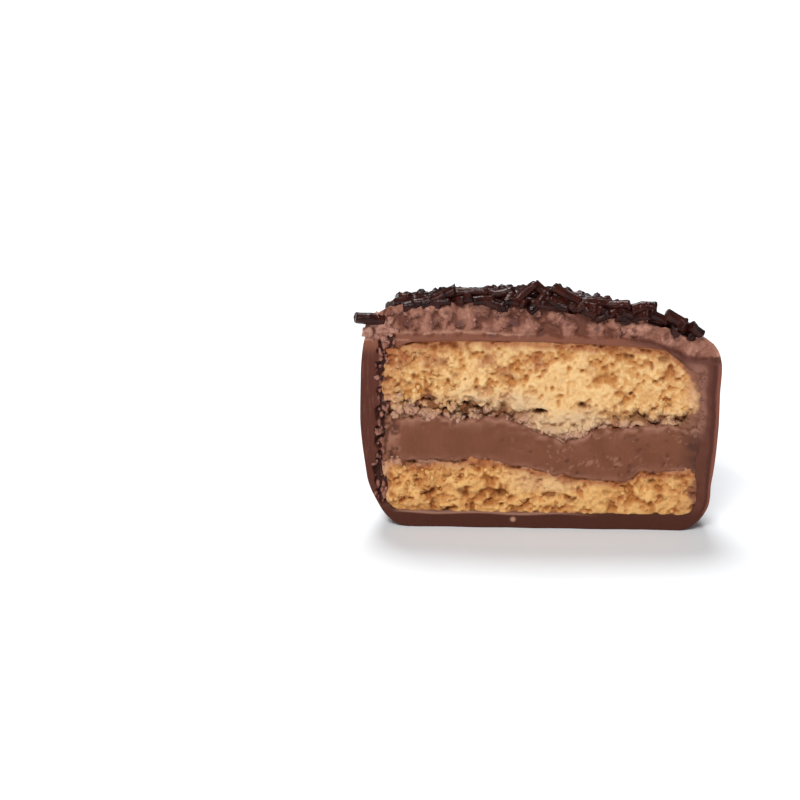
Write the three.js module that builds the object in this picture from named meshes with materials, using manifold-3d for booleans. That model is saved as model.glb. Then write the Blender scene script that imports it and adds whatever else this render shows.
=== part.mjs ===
// Half of a round sandwich biscuit: two crumbly biscuit layers with a chocolate filling between
// them, inside a coat of milk chocolate whose domed top is strewn with dark chocolate strands.
// Millimetres, +Z up. The cut face looks along -Y and the flat underside rests on z = 0.
// Each solid is made about the axis of the whole round, with the knife cut at y = 0. The group
// then moves them all back by half their depth, so that the origin lies below their middle.

import * as THREE from "three";
import { mergeVertices } from "three/addons/utils/BufferGeometryUtils.js";
import Module from "manifold-3d";

const gap = 0.3; // between neighbouring solids

const coat = {
  radius: 23.8, // widest, at the middle of the wall
  baseRadius: 17.9, // flat underside
  footStart: { radius: 20.6, height: 0.1 }, // the curve from the underside to the foot of the wall
  footEnd: { radius: 22.3, height: 2.6 },
  footRadius: 22.8,
  footHeight: 5.5,
  footShift: 0.65, // the foot stands a little to the right of the rest
  footShiftEnds: 7,
  bellyRadius: 23.6, // the wall leans out up to its widest
  bellyHeight: 10,
  wallLow: 15,
  wallHigh: 19.5,
  cornerRadius: 23.9, // the curve from the wall to the shoulder
  cornerHeight: 26.3,
  shoulderRadius: 19.8,
  shoulderHeight: 27.6,
  domeRadius: 10.8, // the curve from the shoulder to the crown
  crownHeight: 30.6, // chocolate at the axis, below the strands
  topStarts: 14, // the tilts of the top fade out down to this height
  leftRise: 0.14, // how steeply the top climbs towards -X, and falls towards +X
  rightFall: 0.045,
  leanTurn: 4, // and over what width the one turns into the other
  backFall: 0.08, // how steeply it falls towards +Y, away from the cut
  // the right shoulder is fuller than the left one
  fill: { out: 0.62, up: 1.05, high: 25, inner: 18.8, outer: 22.8, from: 4, to: 18 },
  unevenness: 0.35, // depth of the dimples in the coat
  dimple: 7.5, // width of a dimple
};

const core = {
  offset: 0.4, // the biscuits sit a little off the axis of the coat
  radius: 20.8,
  bottom: 2.15,
  bottomRound: 2.4,
  topRound: 3.2,
  shoulder: 22.6,
  eaves: 26.5, // the curve from the shoulder to the ceiling
  ceiling: 27.5,
  unevenness: 0.7,
  dimple: 5,
};

// Where one layer ends and the next begins: a height, and how it changes along the cut.
const layerEdge = 21.4;
const lowerTop = {
  left: 9.65,
  fall: { by: 2.5, from: -9.6, to: 9.4 },
  rise: { by: 1.3, from: 11.8, to: 13.8 },
};
const fillingTop = {
  left: 15.0,
  fall: { by: 1.1, from: -3.6, to: 14.4 },
  sag: { by: 2.6, at: 3, width: 4.3 }, // where the upper biscuit sank in
};
const upperTop = {
  crest: 25.95,
  crestAt: -5.6,
  bend: 0.0018,
  right: { by: 2.9, from: 15.6, to: layerEdge },
  left: { by: 1.4, from: 16.6, to: layerEdge },
};
const waves = { width: 1.9, reach: 30, lower: 0.5, filling: 0.9, upper: 0.5 }; // on those heights

// Roughness of the cut face: how deep the knife and the crumb leave it.
const crumb = { coarse: 0.85, coarseWidth: 2.3, fine: 0.6, fineWidth: 1.15, skin: 0.05 };
const smear = { coarse: 0.2, coarseWidth: 4, fine: 0.06, fineWidth: 1.6, skin: 0.02 };
const crag = { coarse: 0.7, coarseWidth: 1.9, fine: 0.35, fineWidth: 1.1, skin: 0.04 };
// Where the coat is rough: above a height, and in an upright strip at its left.
const crags = { above: 26.8, blend: 1.4, from: -22.6, full: -21.6, fade: -19.6, to: -18.6 };

// Hollows in the cut face, as a place on it, a radius and a depth.
const hollows = {
  underUpper: [
    { x: -14.6, z: 16.6, radius: 1.5, depth: 1.0 },
    { x: -10.9, z: 16.9, radius: 1.6, depth: 1.1 },
    { x: 0.3, z: 16.0, radius: 1.7, depth: 1.2 },
    { x: 5.6, z: 17.3, radius: 1.3, depth: 1.4 },
    { x: 13.5, z: 14.3, radius: 1.2, depth: 0.9 },
    { x: 18.9, z: 15.0, radius: 1.3, depth: 1.0 },
  ],
  lowerRow: { from: -14.5, to: 3.5, count: 7, z: 5.2, radius: 1.1, depth: 0.7 },
};

const strands = {
  count: 109,
  shortest: 3.2,
  longest: 5.6,
  thinnest: 1.1,
  thickest: 1.36,
  sides: 5,
  sink: 0.42, // share of the radius pressed into what is below
  bearing: 0.9, // share of the length that rests on what is below
  probes: 5, // places on each side of the middle where that is felt
  steepest: 0.45, // rise over run of a strand that leans on others
  reach: 21.7, // furthest from the axis
  margin: 2.6, // dropped this far in front of the cut, and then cut off
  stub: 1.3, // shorter pieces left by the knife fell off
  tries: 2500,
  seed: 4117,
};
const heap = { thin: 1.05, thick: 2.1, thickAt: 4.5, spread: 8 }; // height of the strands above the coat
const cornerStrand = { x: -22.6, y: 0.9, z: 28.6, length: 3.8, width: 1.6, rise: -0.12, turn: 0.2 };

const evenSpread = { x: 0.7548776662, y: 0.5698402909 };

const faceStep = { biscuit: 1.1, filling: 2.2, coat: 1.4 };
const roundSegments = { coat: 52, core: 36 };
const curveSteps = { coat: 5, core: 3 };
const bedStep = 0.4;

const colours = { coat: 0x5c3424, biscuit: 0xd7a56f, lowerBiscuit: 0xc59260, filling: 0x7d4d39 };

const wasm = await Module();
wasm.setup();

const { clamp, lerp } = THREE.MathUtils;
const smoothstep = (value, from, to) => {
  const t = clamp((value - from) / (to - from), 0, 1);
  return t * t * (3 - 2 * t);
};
const ramp = (value, change) => change.by * smoothstep(value, change.from, change.to);

// A fixed number from 0 to 1 for each corner of a grid of unit cubes.
function cornerValue(i, j, k) {
  let mixed = Math.imul(i, 73856093) ^ Math.imul(j, 19349663) ^ Math.imul(k, 83492791);
  mixed = Math.imul(mixed ^ (mixed >>> 13), 1274126177);
  return ((mixed ^ (mixed >>> 16)) >>> 0) / 4294967296;
}

// Smooth noise from 0 to 1, one unit to a bump.
function noise(x, y, z) {
  const [i, j, k] = [x, y, z].map(Math.floor);
  const [u, v, w] = [x - i, y - j, z - k].map((t) => t * t * (3 - 2 * t));
  const corner = (di, dj, dk) => cornerValue(i + di, j + dj, k + dk);
  const along = (dj, dk) => lerp(corner(0, dj, dk), corner(1, dj, dk), u);
  const across = (dk) => lerp(along(0, dk), along(1, dk), v);
  return lerp(across(0), across(1), w);
}

// The same, with bumps of one width, moved away from the axes, where noise would mirror.
const bumps = (point, width, shift) =>
  noise(point.x / width + shift, point.y / width + shift, point.z / width + shift) - 0.5;

function randomFrom(seed) {
  let state = seed;
  return (low, high) => {
    state = (Math.imul(state, 1664525) + 1013904223) >>> 0;
    return low + ((high - low) * state) / 4294967296;
  };
}

function solidOf(geometry) {
  const bare = geometry.index ? geometry : geometry.clone();
  bare.deleteAttribute("normal");
  bare.deleteAttribute("uv");
  const merged = mergeVertices(bare, 1e-4);
  return new wasm.Manifold(
    new wasm.Mesh({
      numProp: 3,
      vertProperties: new Float32Array(merged.attributes.position.array),
      triVerts: new Uint32Array(merged.index.array),
    }),
  );
}

// The largest body of a solid: sealed hollows are filled and loose scraps dropped.
function largestBody(solid) {
  return solid.decompose().reduce((best, body) => (body.volume() > best.volume() ? body : best));
}

function meshOf(name, solid, colour, roughness) {
  const { vertProperties, triVerts } = largestBody(solid).getMesh();
  const geometry = new THREE.BufferGeometry();
  geometry.setAttribute("position", new THREE.BufferAttribute(vertProperties, 3));
  geometry.setIndex(new THREE.BufferAttribute(triVerts, 1));
  geometry.computeVertexNormals();
  const finish = new THREE.MeshStandardMaterial({ color: colour, roughness, metalness: 0 });
  const mesh = new THREE.Mesh(geometry, finish);
  mesh.name = name;
  return mesh;
}

function moveVertices(geometry, move) {
  const position = geometry.attributes.position;
  const point = new THREE.Vector3();
  for (let i = 0; i < position.count; i += 1) {
    point.fromBufferAttribute(position, i);
    move(point);
    position.setXYZ(i, point.x, point.y, point.z);
  }
  return geometry;
}

// A profile of (radius, height) turned about the Z axis.
function turned(profile, segments) {
  return new THREE.LatheGeometry(profile, segments).rotateX(Math.PI / 2);
}

function coatProfile() {
  const path = new THREE.Path();
  path.moveTo(0, 0);
  path.lineTo(coat.baseRadius, 0);
  const { footStart, footEnd } = coat;
  path.bezierCurveTo(
    footStart.radius,
    footStart.height,
    footEnd.radius,
    footEnd.height,
    coat.footRadius,
    coat.footHeight,
  );
  path.quadraticCurveTo(coat.bellyRadius, coat.bellyHeight, coat.radius, coat.wallLow);
  path.lineTo(coat.radius, coat.wallHigh);
  path.quadraticCurveTo(coat.cornerRadius, coat.cornerHeight, coat.shoulderRadius, coat.shoulderHeight);
  path.quadraticCurveTo(coat.domeRadius, coat.crownHeight, 0, coat.crownHeight);
  return path.getPoints(curveSteps.coat);
}

// How much of the top's tilts a height has.
const topShare = (z) => smoothstep(z, coat.topStarts, coat.shoulderHeight);

// Moves a point of the even coat to where the real, hand-dipped one is.
function settleCoat(point) {
  const upper = topShare(point.z);
  const lifted = smoothstep(point.z, 0, coat.footHeight);
  const bump = bumps(point, coat.dimple, 40);
  const { fill } = coat;
  const onShoulder = smoothstep(Math.hypot(point.x, point.y), fill.inner, fill.outer);
  const fuller =
    onShoulder * smoothstep(point.z, coat.wallHigh, fill.high) * smoothstep(point.x, fill.from, fill.to);
  const swell = 1 + (coat.unevenness * bump * lifted + fill.out * fuller) / coat.radius;
  point.x *= swell;
  point.y *= swell;
  point.x += coat.footShift * (1 - smoothstep(point.z, coat.footHeight / 2, coat.footShiftEnds));
  const slope = (coat.leftRise + coat.rightFall) / 2;
  const bend = (coat.leftRise - coat.rightFall) / 2;
  const lean = bend * (Math.hypot(point.x, coat.leanTurn) - coat.leanTurn) - slope * point.x;
  point.z += upper * (coat.unevenness * 2 * bump + lean - coat.backFall * point.y) + fill.up * fuller;
}

// Height of the settled top above a place on the base.
function coatTop(x, y, rim) {
  const radius = Math.hypot(x, y);
  const next = rim.findIndex((end) => end.x <= radius);
  if (next < 1) return -Infinity;
  const [outer, inner] = [rim[next - 1], rim[next]];
  const share = (radius - inner.x) / (outer.x - inner.x);
  const point = new THREE.Vector3(x, y, lerp(inner.y, outer.y, share));
  settleCoat(point);
  return point.z;
}

// A little waviness on a layer's surface, told apart by its seed.
const ripple = (x, y, seed, depth) =>
  depth * (noise(x / waves.width + 60, y / waves.reach + 60, seed) - 0.5);

function lowerEdge(x, y) {
  const level = lowerTop.left - ramp(x, lowerTop.fall) + ramp(x, lowerTop.rise);
  return level + ripple(x, y, 1, waves.lower);
}

function fillingEdge(x, y) {
  const { sag } = fillingTop;
  const sunk = sag.by * Math.exp(-(((x - sag.at) / sag.width) ** 2));
  return fillingTop.left - ramp(x, fillingTop.fall) - sunk + ripple(x, y, 2, waves.filling);
}

function crustEdge(x, y) {
  const bow = upperTop.bend * (x - upperTop.crestAt) ** 2;
  const level = upperTop.crest - bow - ramp(x, upperTop.right) - ramp(-x, upperTop.left);
  return level + ripple(x, y, 5, waves.upper) - coat.backFall * y;
}

// What lies between two heights that change over the plan.
function slab(lowAt, highAt) {
  const size = 2 * coat.radius + 4;
  const geometry = new THREE.BoxGeometry(size, size, 1, 32, 4, 1);
  moveVertices(geometry, (point) => {
    point.z = point.z < 0 ? lowAt(point.x, point.y) : highAt(point.x, point.y);
  });
  return solidOf(geometry);
}

// The upright drum that holds all the layers, made larger by grow.
function coreDrum(grow) {
  const radius = core.radius + grow;
  const floor = core.bottom - grow;
  const path = new THREE.Path();
  path.moveTo(0, floor);
  path.lineTo(radius - core.bottomRound, floor);
  path.quadraticCurveTo(radius, floor, radius, floor + core.bottomRound);
  path.lineTo(radius, core.shoulder);
  path.quadraticCurveTo(radius, core.eaves, radius - core.topRound, core.ceiling);
  path.lineTo(0, core.ceiling);
  const geometry = turned(path.getPoints(curveSteps.core), roundSegments.core);
  moveVertices(geometry, (point) => {
    const swell = 1 + (core.unevenness * bumps(point, core.dimple, 80)) / core.radius;
    point.x = point.x * swell + core.offset;
    point.y *= swell;
    point.z -= topShare(point.z) * coat.backFall * point.y;
  });
  return solidOf(geometry);
}

// Depth of the face below the knife's plane, for one kind of crumb.
function roughness(kind, x, z, seed) {
  const coarse = noise(x / kind.coarseWidth + 30, z / kind.coarseWidth + 30, seed);
  const fine = noise(x / kind.fineWidth + 30, z / kind.fineWidth + 30, seed + 7);
  return kind.skin + kind.coarse * coarse ** 1.5 + kind.fine * fine;
}

// A hollow is at its deepest over its inner share and runs out a little beyond its radius.
function hollowAt(hollow, x, z) {
  const away = Math.hypot(x - hollow.x, z - hollow.z) / hollow.radius;
  return hollow.depth * (1 - smoothstep(away, 0.3, 1.3));
}

function upperFace(x, z) {
  const dug = hollows.underUpper.reduce((sum, hollow) => sum + hollowAt(hollow, x, z), 0);
  return roughness(crumb, x, z, 3) + dug;
}

function lowerFace(x, z) {
  const row = hollows.lowerRow;
  let dug = 0;
  for (let n = 0; n < row.count; n += 1) {
    const at = row.from + ((row.to - row.from) * n) / (row.count - 1);
    dug += hollowAt({ ...row, x: at }, x, z);
  }
  return roughness(crumb, x, z, 11) + dug;
}

const fillingFace = (x, z) => roughness(smear, x, z, 19);

function coatFace(x, z) {
  const top = smoothstep(z, crags.above - crags.blend, crags.above + crags.blend);
  const side = smoothstep(x, crags.from, crags.full) * (1 - smoothstep(x, crags.fade, crags.to));
  return lerp(roughness(smear, x, z, 23), roughness(crag, x, z, 29), Math.max(top, side));
}

// What the knife takes away, with the face that it leaves.
function knife(faceAt, step) {
  const below = 3; // it starts this far under the food
  const width = 2 * coat.radius + 8;
  const height = coat.crownHeight + 10;
  const depth = 2 * coat.radius;
  const columns = Math.round(width / step);
  const rows = Math.round(height / step);
  const geometry = new THREE.BoxGeometry(width, depth, height, columns, 1, rows);
  geometry.translate(0, -depth / 2, height / 2 - below);
  moveVertices(geometry, (point) => {
    if (point.y > -depth / 2) point.y = faceAt(point.x, point.z);
  });
  return solidOf(geometry);
}

function strandRod(strand) {
  const along = new THREE.Vector3(Math.cos(strand.turn), Math.sin(strand.turn), strand.rise).normalize();
  const turn = new THREE.Quaternion().setFromUnitVectors(new THREE.Vector3(0, 1, 0), along);
  const rod = new THREE.CylinderGeometry(strand.width / 2, strand.width / 2, strand.length, strands.sides);
  return solidOf(rod.applyQuaternion(turn).translate(strand.x, strand.y, strand.z));
}

// A grid of heights that strands are dropped on one by one, each resting on those before it.
function heightBed(topAt) {
  const half = Math.ceil(coat.radius / bedStep);
  const cells = 2 * half + 1;
  const heights = new Float64Array(cells * cells);
  const cellOf = (x, y) => (Math.round(y / bedStep) + half) * cells + Math.round(x / bedStep) + half;
  for (let row = -half; row <= half; row += 1) {
    for (let column = -half; column <= half; column += 1) {
      heights[(row + half) * cells + column + half] = topAt(column * bedStep, row * bedStep);
    }
  }
  return { heights, cellOf };
}

// The line that a strand comes to rest on: its height at the middle, and its rise over run.
function restingLine(bed, strand) {
  const { probes, bearing } = strands;
  const samples = [];
  for (let n = -probes; n <= probes; n += 1) {
    const along = ((n / probes) * bearing * strand.length) / 2;
    const [x, y] = [strand.x + along * Math.cos(strand.turn), strand.y + along * Math.sin(strand.turn)];
    samples.push({ along, height: bed.heights[bed.cellOf(x, y)] });
  }
  let best = { height: samples[probes].height, rise: 0 };
  for (const low of samples.slice(0, probes)) {
    for (const high of samples.slice(probes + 1)) {
      const rise = (high.height - low.height) / (high.along - low.along);
      const height = low.height - rise * low.along;
      if (height > best.height) best = { height, rise };
    }
  }
  return { height: best.height, rise: clamp(best.rise, -strands.steepest, strands.steepest) };
}

// Raises the bed under a strand that has come to rest.
function layOn(bed, strand) {
  const radius = strand.width / 2;
  for (let along = -strand.length / 2; along <= strand.length / 2; along += bedStep / 2) {
    for (let side = -radius; side <= radius; side += bedStep / 2) {
      const x = strand.x + along * Math.cos(strand.turn) - side * Math.sin(strand.turn);
      const y = strand.y + along * Math.sin(strand.turn) + side * Math.cos(strand.turn);
      const cell = bed.cellOf(x, y);
      const top = strand.z + along * strand.rise + Math.sqrt(Math.max(radius ** 2 - side ** 2, 0));
      bed.heights[cell] = Math.max(bed.heights[cell], top);
    }
  }
}

// Cuts a strand off where it crosses the knife's plane.
function cutOff(strand) {
  const reach = (strand.length / 2) * Math.sin(strand.turn);
  const [front, back] = [strand.y - Math.abs(reach), strand.y + Math.abs(reach)];
  if (front >= 0) return strand;
  const kept = back <= 0 ? 0 : back / (back - front);
  const slide = ((1 - kept) * strand.length) / 2 * Math.sign(reach);
  return {
    ...strand,
    x: strand.x + slide * Math.cos(strand.turn),
    y: strand.y + slide * Math.sin(strand.turn),
    length: strand.length * kept,
  };
}

// How high the heap stands above the coat: what lay higher rolled off.
function heapAt(x) {
  const share = Math.exp(-(((x - heap.thickAt) / heap.spread) ** 2));
  return lerp(heap.thin, heap.thick, share);
}

function strewnStrands(topAt) {
  const random = randomFrom(strands.seed);
  const bed = heightBed(topAt);
  const laid = [];
  for (let n = 1; laid.length < strands.count && n < strands.tries; n += 1) {
    // an even spread at every count: each step adds two fixed fractions of the field's sides
    const x = (((n * evenSpread.x) % 1) * 2 - 1) * strands.reach;
    const y = ((n * evenSpread.y) % 1) * (strands.reach + strands.margin) - strands.margin;
    const drawn = {
      x,
      y,
      turn: random(0, Math.PI),
      length: random(strands.shortest, strands.longest),
      width: random(strands.thinnest, strands.thickest),
    };
    const strand = cutOff(drawn);
    const outside = Math.hypot(strand.x, strand.y) > strands.reach;
    if (outside || strand.length < strands.stub) continue;
    const line = restingLine(bed, strand);
    strand.rise = line.rise;
    strand.z = line.height + (strand.width / 2) * (1 - strands.sink);
    if (strand.z + strand.width / 2 > topAt(strand.x, strand.y) + heapAt(strand.x)) continue;
    layOn(bed, strand);
    laid.push(strand);
  }
  return laid;
}

function chocolateCoat() {
  const profile = coatProfile();
  const body = moveVertices(turned(profile, roundSegments.coat), settleCoat);
  const widest = profile.findLastIndex((point) => point.x >= coat.radius);
  const rim = profile.slice(widest);
  const topAt = (x, y) => coatTop(x, y, rim);
  let solid = solidOf(body);
  for (const strand of [cornerStrand, ...strewnStrands(topAt)]) {
    solid = solid.add(strandRod(strand));
  }
  const room = slab(
    () => core.bottom - gap,
    (x, y) => crustEdge(x, y) + gap,
  );
  return solid.subtract(coreDrum(gap).intersect(room)).subtract(knife(coatFace, faceStep.coat));
}

function layer(lowAt, highAt, faceAt, step) {
  return coreDrum(0).intersect(slab(lowAt, highAt)).subtract(knife(faceAt, step));
}

const lowerBiscuit = layer(
  () => core.bottom,
  (x, y) => lowerEdge(x, y) - gap / 2,
  lowerFace,
  faceStep.biscuit,
);
const filling = layer(
  (x, y) => lowerEdge(x, y) + gap / 2,
  (x, y) => fillingEdge(x, y) - gap / 2,
  fillingFace,
  faceStep.filling,
);
const upperBiscuit = layer((x, y) => fillingEdge(x, y) + gap / 2, crustEdge, upperFace, faceStep.biscuit);

const group = new THREE.Group();
group.add(meshOf("chocolate_coat", chocolateCoat(), colours.coat, 0.45));
group.add(meshOf("lower_biscuit", lowerBiscuit, colours.lowerBiscuit, 0.9));
group.add(meshOf("chocolate_filling", filling, colours.filling, 0.7));
group.add(meshOf("upper_biscuit", upperBiscuit, colours.biscuit, 0.9));
group.position.y = -coat.radius / 2;

export default group;
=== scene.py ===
import math

import bpy
import numpy as np
from mathutils import Matrix, Vector


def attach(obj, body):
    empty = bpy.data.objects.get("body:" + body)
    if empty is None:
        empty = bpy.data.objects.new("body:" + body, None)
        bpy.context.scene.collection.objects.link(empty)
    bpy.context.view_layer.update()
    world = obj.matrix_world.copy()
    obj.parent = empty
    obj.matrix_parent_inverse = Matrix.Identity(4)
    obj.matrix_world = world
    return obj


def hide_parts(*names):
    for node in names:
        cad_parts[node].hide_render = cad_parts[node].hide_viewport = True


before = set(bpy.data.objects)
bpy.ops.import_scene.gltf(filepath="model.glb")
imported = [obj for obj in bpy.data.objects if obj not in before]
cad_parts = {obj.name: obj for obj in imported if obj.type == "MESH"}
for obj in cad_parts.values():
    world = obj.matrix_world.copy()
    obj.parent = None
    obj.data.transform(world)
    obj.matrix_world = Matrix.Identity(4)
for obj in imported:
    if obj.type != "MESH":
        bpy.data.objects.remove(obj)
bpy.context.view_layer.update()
print("frame loaded:", ", ".join(sorted(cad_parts)))

mm = 0.001

# Sizes here are in millimetres from the axis of the whole round, with the knife's plane at y = 0.
# pieceFrom() moves each mesh back by half the depth, to where the frame has it.

coat = {
    "radius": 23.8,  # widest, at the middle of the wall
    "baseRadius": 17.9,  # flat underside
    "footStart": (20.6, 0.1),  # the curve from the underside to the foot of the wall
    "footEnd": (22.3, 2.6),
    "footRadius": 22.8,
    "footHeight": 5.5,
    "footShift": 0.65,  # the foot stands a little to the right of the rest
    "footShiftEnds": 7.0,
    "belly": (23.6, 10.0),  # the wall leans out up to its widest
    "wallLow": 15.0,
    "wallHigh": 19.5,
    "corner": (23.9, 26.3),  # the curve from the wall to the shoulder
    "shoulderRadius": 19.8,
    "shoulderHeight": 27.6,
    "domeRadius": 10.8,  # the curve from the shoulder to the crown
    "crownHeight": 30.6,  # chocolate at the axis, below the strands
    "leftRise": 0.14,  # how steeply the top climbs to the left, and falls to the right
    "rightFall": 0.045,
    "leanTurn": 4.0,  # and over what width the one turns into the other
    "backFall": 0.08,
    "topStarts": 14.0,  # the tilts of the top fade out down to this height
    "unevenness": 0.35,  # depth of the dimples in the coat
    "dimple": 7.5,  # width of a dimple
}
# the right shoulder is fuller than the left one: how much, and between which places it grows
fill = {
    "out": 0.62,
    "up": 1.05,
    "radii": (18.8, 22.8),
    "across": (4.0, 18.0),
    "heights": (coat["wallHigh"], 25.0),
}

# the drum of biscuit and filling inside the coat
core = {
    "offset": 0.4,  # it sits a little off the axis of the coat
    "radius": 20.8,
    "bottom": 2.15,
    "bottomRound": 2.4,
    "bottomIn": 0.9,  # share of that rounding that draws the foot in
    "topRound": 3.2,
    "shoulder": 22.6,
    "ceiling": 27.5,
    "tuck": 0.3,  # how far the layers reach in under the coat's cut edge
}

# where one layer ends and the next begins: a height, and how it changes along the cut
lowerTop = {
    "left": 9.65,
    "fall": 2.5,
    "fallFrom": -9.6,
    "fallTo": 9.4,
    "rise": 1.3,
    "riseFrom": 11.8,
    "riseTo": 13.8,
}
fillingTop = {
    "left": 15.0,
    "fall": 1.1,
    "fallFrom": -3.6,
    "fallTo": 14.4,
    "sag": 2.6,  # where the upper biscuit sank in
    "sagAt": 3.0,
    "sagWidth": 4.3,
}
upperTop = {
    "crest": 25.95,
    "crestAt": -5.6,
    "bend": 0.0018,
    "rightDrop": 2.9,
    "rightFrom": 15.6,
    "leftDrop": 1.4,
    "leftFrom": 16.6,  # to the left
    "edge": 21.4,
}


def smoothstep(value, low, high):
    t = np.clip((value - low) / (high - low), 0.0, 1.0)
    return t * t * (3 - 2 * t)


def fading(value, start, end):
    return 1 - smoothstep(value, start, end)


# 1 in a zone that fades in from its first place to its second, and out from its third to its fourth
def zone(value, inStart, inEnd, outStart, outEnd):
    return smoothstep(value, inStart, inEnd) * fading(value, outStart, outEnd)


def mixed(a, b, share):
    return a + (b - a) * share


def largest(*shares):
    return np.maximum.reduce(np.broadcast_arrays(*shares))


# a fixed number from 0 to 1 for each corner of a grid of unit cubes, by mixing its bits
def cornerValue(i, j, k):
    value = (i * 73856093) ^ (j * 19349663) ^ (k * 83492791)
    value = value & 0xFFFFFFFF
    value = ((value ^ (value >> 13)) * 1274126177) & 0xFFFFFFFF
    return (value ^ (value >> 16)) / 4294967296.0


# smooth noise from 0 to 1, one unit to a bump
def noise(x, y, z):
    x, y, z = np.broadcast_arrays(np.asarray(x, float), np.asarray(y, float), np.asarray(z, float))
    i, j, k = (np.floor(part).astype(np.int64) for part in (x, y, z))
    u, v, w = (t * t * (3 - 2 * t) for t in (x - i, y - j, z - k))
    total = 0.0
    for di in (0, 1):
        for dj in (0, 1):
            for dk in (0, 1):
                weight = (u if di else 1 - u) * (v if dj else 1 - v) * (w if dk else 1 - w)
                total = total + weight * cornerValue(i + di, j + dj, k + dk)
    return total


# smooth bumps over the cut face, from 0 to 1, of a width and a height
def bumps(x, z, width, height, seed, start=30):
    return noise(x / width + start, z / height + start, seed)


# random numbers that come out the same each run
def randomFrom(seed):
    state = seed

    def draw(low, high):
        nonlocal state
        state = (state * 1664525 + 1013904223) & 0xFFFFFFFF
        return low + (high - low) * state / 4294967296.0

    return draw


# points at even steps along a curve that starts at the first point and is pulled by the others
def bezier(points, count):
    t = np.linspace(0, 1, count)[:, None]
    stack = [np.asarray(point, float)[None, :] for point in points]
    while len(stack) > 1:
        stack = [a + (b - a) * t for a, b in zip(stack, stack[1:])]
    return stack[0] * np.ones_like(t)


# the outline as points (radius, height) at an even step, in stretches that share their ends
def resampled(stretches, step):
    parts = []
    for n, points in enumerate(stretches):
        lengths = np.concatenate([[0], np.cumsum(np.hypot(*np.diff(points, axis=0).T))])
        count = max(int(round(lengths[-1] / step)), 2)
        at = np.linspace(0, lengths[-1], count + 1)
        even = np.stack([np.interp(at, lengths, points[:, axis]) for axis in (0, 1)], 1)
        parts.append(even if n == 0 else even[1:])
    return np.concatenate(parts), [len(part) for part in parts]


def coatStretches():
    base, foot = (coat["baseRadius"], 0), (coat["footRadius"], coat["footHeight"])
    low, high = (coat["radius"], coat["wallLow"]), (coat["radius"], coat["wallHigh"])
    shoulder, crown = (coat["shoulderRadius"], coat["shoulderHeight"]), (0, coat["crownHeight"])
    return [
        bezier([(0, 0), base], 2),
        bezier([base, coat["footStart"], coat["footEnd"], foot], 40),
        bezier([foot, coat["belly"], low], 30),
        bezier([low, high], 2),
        bezier([high, coat["corner"], shoulder], 40),
        bezier([shoulder, (coat["domeRadius"], coat["crownHeight"]), crown], 60),
    ]


# where a point of the even coat is on the real one, with its dimples and the tilts of its top
def settled(x, y, z):
    upper = smoothstep(z, coat["topStarts"], coat["shoulderHeight"])
    lifted = smoothstep(z, 0, coat["footHeight"])
    width = coat["dimple"]
    bump = noise(x / width + 40, y / width + 40, z / width + 40) - 0.5
    fuller = smoothstep(np.hypot(x, y), *fill["radii"]) * smoothstep(x, *fill["across"])
    fuller = fuller * smoothstep(z, *fill["heights"])
    swell = 1 + (coat["unevenness"] * bump * lifted + fill["out"] * fuller) / coat["radius"]
    slope, bend = (coat["leftRise"] + coat["rightFall"]) / 2, (coat["leftRise"] - coat["rightFall"]) / 2
    lean = bend * (np.hypot(x * swell, coat["leanTurn"]) - coat["leanTurn"]) - slope * x * swell
    fall = coat["backFall"] * y * swell
    shift = coat["footShift"] * (1 - smoothstep(z, coat["footHeight"] / 2, coat["footShiftEnds"]))
    tilt = upper * (coat["unevenness"] * 2 * bump + lean - fall)
    return x * swell + shift, y * swell, z + tilt + fill["up"] * fuller


def lowerTopAt(x):
    fall = lowerTop["fall"] * smoothstep(x, lowerTop["fallFrom"], lowerTop["fallTo"])
    rise = lowerTop["rise"] * smoothstep(x, lowerTop["riseFrom"], lowerTop["riseTo"])
    return lowerTop["left"] - fall + rise


def fillingTopAt(x):
    fall = fillingTop["fall"] * smoothstep(x, fillingTop["fallFrom"], fillingTop["fallTo"])
    sag = fillingTop["sag"] * np.exp(-(((x - fillingTop["sagAt"]) / fillingTop["sagWidth"]) ** 2))
    return fillingTop["left"] - fall - sag


def upperTopAt(x):
    right = upperTop["rightDrop"] * smoothstep(x, upperTop["rightFrom"], upperTop["edge"])
    left = upperTop["leftDrop"] * smoothstep(-x, upperTop["leftFrom"], upperTop["edge"])
    return upperTop["crest"] - upperTop["bend"] * (x - upperTop["crestAt"]) ** 2 - right - left


# the waves of each edge between layers, and the finer teeth on top of them
edgeWaves = {
    "width": 1.9,
    "toothWidth": 0.8,
    "fineToothWidth": 0.35,
    "lower": {"seed": 1, "depth": 0.5, "teeth": 0.3},
    "upper": {"seed": 2, "depth": 0.9, "teeth": 0.55},
    "crust": {"seed": 5, "depth": 0.5, "teeth": 0.3},
}


def ripple(x, seed, depth, teeth):
    wave = noise(x / edgeWaves["width"] + 60, 60, seed) - 0.5
    tooth = noise(x / edgeWaves["toothWidth"] + 20, 7, seed)
    tooth = tooth + 0.6 * noise(x / edgeWaves["fineToothWidth"] + 20, 3, seed) - 0.8
    return depth * wave + teeth * tooth


def lowerEdge(x):
    return lowerTopAt(x) + ripple(x, **edgeWaves["lower"])


def upperEdge(x):
    return fillingTopAt(x) + ripple(x, **edgeWaves["upper"])


def crustEdge(x):
    return upperTopAt(x) + ripple(x, **edgeWaves["crust"])


# how far the layers' left and right ends wander outwards
sideWaves = {
    "width": 2.3,
    "fineWidth": 0.7,
    "left": {"seed": 31, "depth": 0.7, "fineDepth": 0.5},
    "right": {"seed": 33, "depth": 0.7, "fineDepth": 0.35},
}


def sideWander(z, side):
    waves = sideWaves[side]
    broad = noise(z / sideWaves["width"] + 5, 3, waves["seed"]) - 0.5
    fine = noise(z / sideWaves["fineWidth"] + 5, 3, waves["seed"] + 1) - 0.5
    return waves["depth"] * broad + waves["fineDepth"] * fine


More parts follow.
